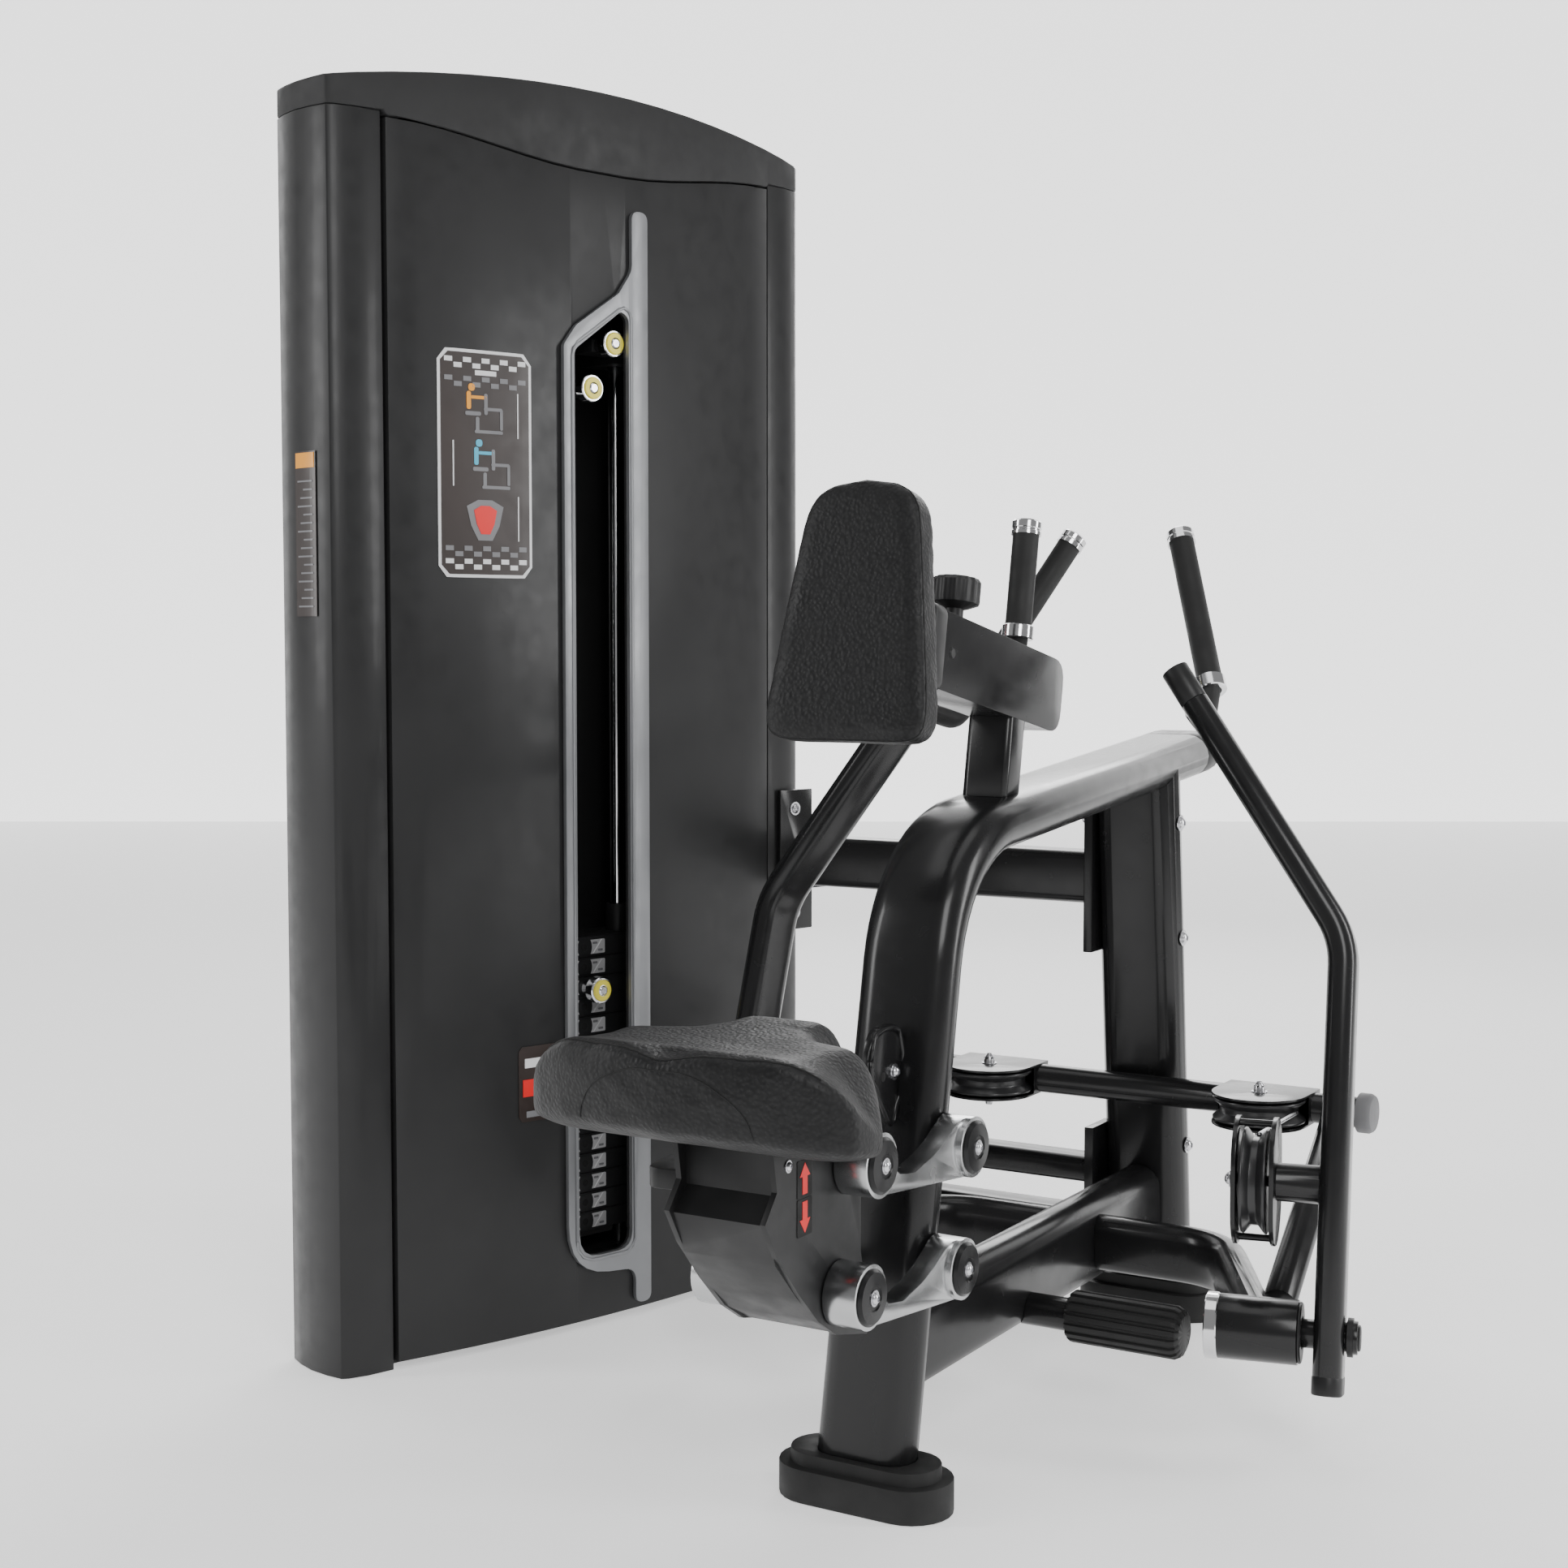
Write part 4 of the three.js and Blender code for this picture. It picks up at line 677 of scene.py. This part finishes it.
# ---- arm foot caps ----
arm_up = (ARM_TOP - ARM_KNEE).normalized()
arm_down = (ARM_FOOT - ARM_KNEE).normalized()
across = arm_down.cross(arm_up).normalized()
oval = []
for k, centre in ((0, 1), (1, -1)):
    for i in range(13):
        t = -math.pi / 2 + math.pi * (i / 12 + k)
        oval.append(((ARM_LONG - ARM_SHORT) / 2 * centre + (ARM_SHORT / 2 + 0.5) * math.cos(t),
                     (ARM_SHORT / 2 + 0.5) * math.sin(t)))
for tag, side in SIDES:
    rings = []
    for distance in (-20, 0.5):
        origin = ARM_FOOT + arm_down * distance
        thin = arm_down.cross(across)
        rings.append([mirrored(origin + across * a + thin * b, side) for a, b in oval])
    vertices, faces = loft(rings)
    cap = mesh_piece(f"arm_foot_cap_{tag}", vertices, faces, PLASTIC, f"{tag}_arm")
    sharpen(cap, 35, 2.0)

# ---- arm cables, from the crossbar pulleys to the arm pulleys ----
GROOVE_RADIUS = 50
for tag, side in SIDES:
    start = Vector(((CROSS_PULLEY_X + GROOVE_RADIUS) * side, 676, CROSS_PULLEY_Z))
    end = fork_centre(side) + Z * GROOVE_RADIUS + Y * 6
    route = [start.lerp(end, i / 24) for i in range(25)]
    cable = swept(f"arm_cable_{tag}", route, CABLE_RADIUS, BOLT, None, 10)
    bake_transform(cable)


# ---- upholstery ----
SWELL_FRAMES = 20


def apply_modifier(obj, name):
    """Replaces the mesh by its evaluated result and drops the modifier."""
    evaluated = obj.evaluated_get(bpy.context.evaluated_depsgraph_get())
    result = bpy.data.meshes.new_from_object(evaluated)
    obj.modifiers.remove(obj.modifiers[name])
    obj.data = result


def smoothed(obj, repeats):
    ease = obj.modifiers.new("ease", "SMOOTH")
    ease.factor, ease.iterations = 0.5, repeats
    apply_modifier(obj, "ease")


def inflate(obj, cap, soften, voxel=0.005):
    """Swells a closed form as stuffed upholstery: remesh, inflate as cloth, cap the movement, smooth.

    The cap and the voxel size are in metres."""
    remesh = obj.modifiers.new("remesh", "REMESH")
    remesh.mode, remesh.voxel_size = "VOXEL", voxel
    apply_modifier(obj, "remesh")
    smoothed(obj, soften)
    rest = [v.co.copy() for v in obj.data.vertices]
    cloth = obj.modifiers.new("swell", "CLOTH")
    cloth.settings.use_pressure = True
    cloth.settings.uniform_pressure_force = 4
    cloth.settings.effector_weights.gravity = 0
    for step in range(1, SWELL_FRAMES + 1):
        bpy.context.scene.frame_set(step)
    apply_modifier(obj, "swell")
    bpy.context.scene.frame_set(1)
    for vertex, start in zip(obj.data.vertices, rest):
        move = vertex.co - start
        if move.length > cap:
            vertex.co = start + move * (cap / move.length)
    smoothed(obj, 3)


def finish_upholstery(obj, body, node):
    obj.data.materials.clear()
    obj.data.materials.append(LEATHER)
    obj.data.polygons.foreach_set("use_smooth", [True] * len(obj.data.polygons))
    fine = obj.modifiers.new("smooth", "SUBSURF")
    fine.levels = fine.render_levels = 1
    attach(obj, body)
    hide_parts(node)


def seam(name, obj, points, body, radius=0.8):
    """A fine dark line of painted shade laid along a seam on an upholstered surface, at the places nearest to the
    given points.
    """
    bpy.context.view_layer.update()
    route = [obj.closest_point_on_mesh(point * MM)[1] / MM for point in points]
    swept(name, route, radius, PAINTED_SHADE_AND_CARD_BLACK, body, 8)


def superform(name, place, rows, columns, squareness):
    """A closed rounded form: place(angle, reach, level), with level from -1 to 1, gives each point."""
    rings = []
    for r in range(1, rows):
        latitude = -math.pi / 2 + math.pi * r / rows
        c, s = math.cos(latitude), math.sin(latitude)
        reach = abs(c) ** squareness
        level = math.copysign(abs(s) ** squareness, s)
        rings.append([place(2 * math.pi * k / columns, reach, level) for k in range(columns)])
    vertices, faces = loft(rings)
    return mesh_piece(name, vertices, faces, LEATHER, None)


# The seat's plan as (x, y) from the rear to the nose, then its top and underside as (y, z) along the middle.
SEAT_MIDDLE_Y = -290
SEAT_PLAN = [(0, -390), (60, -385), (120, -371), (163, -352), (179, -338), (181, -315), (177, -285),
             (155, -255), (122, -228), (99, -200), (90, -170), (84, -152), (72, -147), (30, -147), (0, -147)]
SEAT_CREST = [(-390, 538), (-370, 536), (-340, 530), (-300, 527), (-240, 528), (-190, 531), (-147, 532)]
SEAT_UNDER = [(-390, 460), (-341, 447), (-262, 434), (-190, 417), (-147, 432)]
THIGH_X, THIGH_Y, THIGH_REACH, THIGH_DEPTH = 132, -160, 90, 55
REAR_DROP, SIDE_DROP, NOTCH_DEPTH, NOTCH_WIDTH = 34, 26, 7, 24


def along_table(table, y):
    """Straight-line reading of a table of (y, value) pairs."""
    for (y0, a), (y1, b) in zip(table, table[1:]):
        if y <= y1:
            return a + (b - a) * max(0.0, (y - y0) / (y1 - y0))
    return table[-1][1]


def eased(share):
    """A soft step from 0 to 1."""
    share = min(1.0, max(0.0, share))
    return share * share * (3 - 2 * share)


def seat_top(x, y):
    """The saddle: the shoulders roll off, a hollow on each side lets the thighs down beside the nose."""
    shoulder = REAR_DROP * max(0.0, (abs(x) - 110) / 71) ** 2
    shoulder += SIDE_DROP * eased((y + 350) / 60) * eased((abs(x) - 125) / 50)
    outside = math.hypot(abs(x) - THIGH_X, y - THIGH_Y) / THIGH_REACH
    notch = NOTCH_DEPTH * math.exp(-(x / NOTCH_WIDTH) ** 2) * eased((-340 - y) / 30)
    return along_table(SEAT_CREST, y) - shoulder - notch - THIGH_DEPTH * eased(2.2 * (1 - outside))


def seat_outline(angle):
    """The plan, walked by its length from the middle of the rear edge round to the middle of the nose."""
    turn = math.remainder(angle, 2 * math.pi)
    side = math.copysign(1, turn)
    steps = [math.dist(a, b) for a, b in zip(SEAT_PLAN, SEAT_PLAN[1:])]
    left = abs(turn) / math.pi * sum(steps)
    for a, b, step in zip(SEAT_PLAN, SEAT_PLAN[1:], steps):
        if left <= step:
            return side * (a[0] + (b[0] - a[0]) * left / step), a[1] + (b[1] - a[1]) * left / step
        left -= step
    return side * SEAT_PLAN[-1][0], SEAT_PLAN[-1][1]


def seat_point(angle, reach, level):
    x, y = seat_outline(angle)
    x *= reach
    y = SEAT_MIDDLE_Y + (y - SEAT_MIDDLE_Y) * reach
    low = along_table(SEAT_UNDER, y)
    return Vector((x, y, low + (seat_top(x, y) - low) * (level + 1) / 2))


cushion = superform("seat_upholstery", seat_point, rows=36, columns=120, squareness=0.16)
inflate(cushion, 0.003, 7)
finish_upholstery(cushion, "seat", "seat_cushion")
arch = [Vector((95 * math.cos(t), -395 + 12 * math.cos(t) ** 2, 460 + 61 * math.sin(t)))
        for t in (math.pi * k / 40 for k in range(41))]
seam("seat_rear_seam", cushion, arch, "seat")
rim = []
for k in range(81):
    x, y, _ = seat_point(0.34 * math.pi * (k / 40 - 1), 0.95, 0)
    rim.append(Vector((x, y, seat_top(x, y) + 10)))
seam("seat_rim_seam", cushion, rim, "seat", 1.0)

PAD_DEPTH = 38


def pad_point(angle, reach, level):
    """The chest pad: wider at the bottom, arched on top, crowned a little on its face."""
    c, s = math.cos(angle), math.sin(angle)
    u = math.copysign(abs(c) ** 0.24, c) * reach
    v = math.copysign(abs(s) ** 0.24, s) * reach
    x = u * (82.5 - 16.5 * v)
    up = v * (143 - 19 * (x / 66) ** 2 if v > 0 else 130)
    crown = 2.5 * (1 - (x / 101) ** 2) * (1 - v * v)
    behind = PAD_DEPTH / 2 * (1 - level) - (crown if level > 0 else 0)
    return pad(behind, up, x)


chest = superform("chest_upholstery", pad_point, rows=28, columns=112, squareness=0.13)
inflate(chest, 0.002, 3, voxel=0.004)
finish_upholstery(chest, "chest_pad", "chest_pad")
seam("chest_seam", chest, [pad_point(2 * math.pi * k / 120, 1.06, 0.72) for k in range(121)], "chest_pad")
slab("chest_backing", rounded_box(110, 130, 20), (X, PAD_UP, PAD_OUT), pad(47.6, 0), 10.5, PLASTIC, "chest_pad",
     1.0)

# ---- floor, light and camera ----
def glowing_sheet(name, corners, material_name, strength):
    """A plain white sheet of the stage that gives off a little light of its own."""
    data = bpy.data.meshes.new(name)
    data.from_pydata(corners, [], [(0, 1, 2, 3)])
    sheet = bpy.data.objects.new(name, data)
    bpy.context.scene.collection.objects.link(sheet)
    white = coated(material_name, (0.80, 0.80, 0.80), (0.82, 0.82, 0.82), 0.8, grain=40.0)
    shader = white.node_tree.nodes["Principled BSDF"]
    shader.inputs["Emission Color"].default_value = (1, 1, 1, 1)
    shader.inputs["Emission Strength"].default_value = strength
    data.materials.append(white)
    sheet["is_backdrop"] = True


FLOOR_HALF, FLOOR_Z = 30, -0.0005
floor_corners = [(FLOOR_HALF * a, FLOOR_HALF * b, FLOOR_Z) for a, b in ((-1, -1), (1, -1), (1, 1), (-1, 1))]
glowing_sheet("floor", floor_corners, "pale_floor", 0.65)
BACKDROP_OUT, BACKDROP_ALONG = Vector((-0.516, 0.857, 0)), Vector((0.857, 0.516, 0))
BACKDROP_AWAY, BACKDROP_HALF, BACKDROP_FOOT = 9, 12, -0.1
backdrop_corners = [tuple(BACKDROP_OUT * BACKDROP_AWAY + BACKDROP_ALONG * a + Z * b) for a, b in
                    ((-BACKDROP_HALF, BACKDROP_FOOT), (BACKDROP_HALF, BACKDROP_FOOT),
                     (BACKDROP_HALF, BACKDROP_HALF), (-BACKDROP_HALF, BACKDROP_HALF))]
glowing_sheet("backdrop", backdrop_corners, "white_backdrop", 1.6)

world = bpy.data.worlds.new("studio")
bpy.context.scene.world = world
world.use_nodes = True
sky = world.node_tree.nodes["Background"]
sky.inputs["Color"].default_value = (1.0, 1.0, 1.0, 1)
sky.inputs["Strength"].default_value = 0.3


def soft_light(name, place, target, size, power):
    lamp = bpy.data.lights.new(name, "AREA")
    lamp.shape, lamp.size, lamp.size_y, lamp.energy = "RECTANGLE", size[0], size[1], power
    obj = bpy.data.objects.new(name, lamp)
    obj.location = place
    obj.rotation_mode = "QUATERNION"
    obj.rotation_quaternion = (Vector(target) - Vector(place)).to_track_quat("-Z", "Y")
    bpy.context.scene.collection.objects.link(obj)


soft_light("key", (2.6, -2.4, 3.0), (0, 0.2, 0.7), (1.4, 2.4), 75)
soft_light("side", (3.2, 1.6, 1.6), (0, 0.3, 0.6), (0.7, 2.6), 60)
soft_light("top", (-0.2, 0.1, 3.8), (-0.2, 0.3, 0.6), (2.4, 2.4), 25)
soft_light("left", (-3.4, -2.2, 2.0), (-0.4, 0.2, 0.8), (0.8, 2.4), 50)
soft_light("back", (-1.5, 3.8, 2.4), (0, 0.3, 0.8), (2.0, 1.2), 50)

lens = bpy.data.cameras.new("camera")
lens.sensor_width = 36
lens.lens = 51.2
camera = bpy.data.objects.new("camera", lens)
camera.location = (1.109, -2.006, 0.896)
camera.rotation_euler = (math.radians(90 - 3.576), 0, math.radians(31.076))
bpy.context.scene.collection.objects.link(camera)
bpy.context.scene.camera = camera

bpy.context.view_layer.update()
low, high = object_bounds()
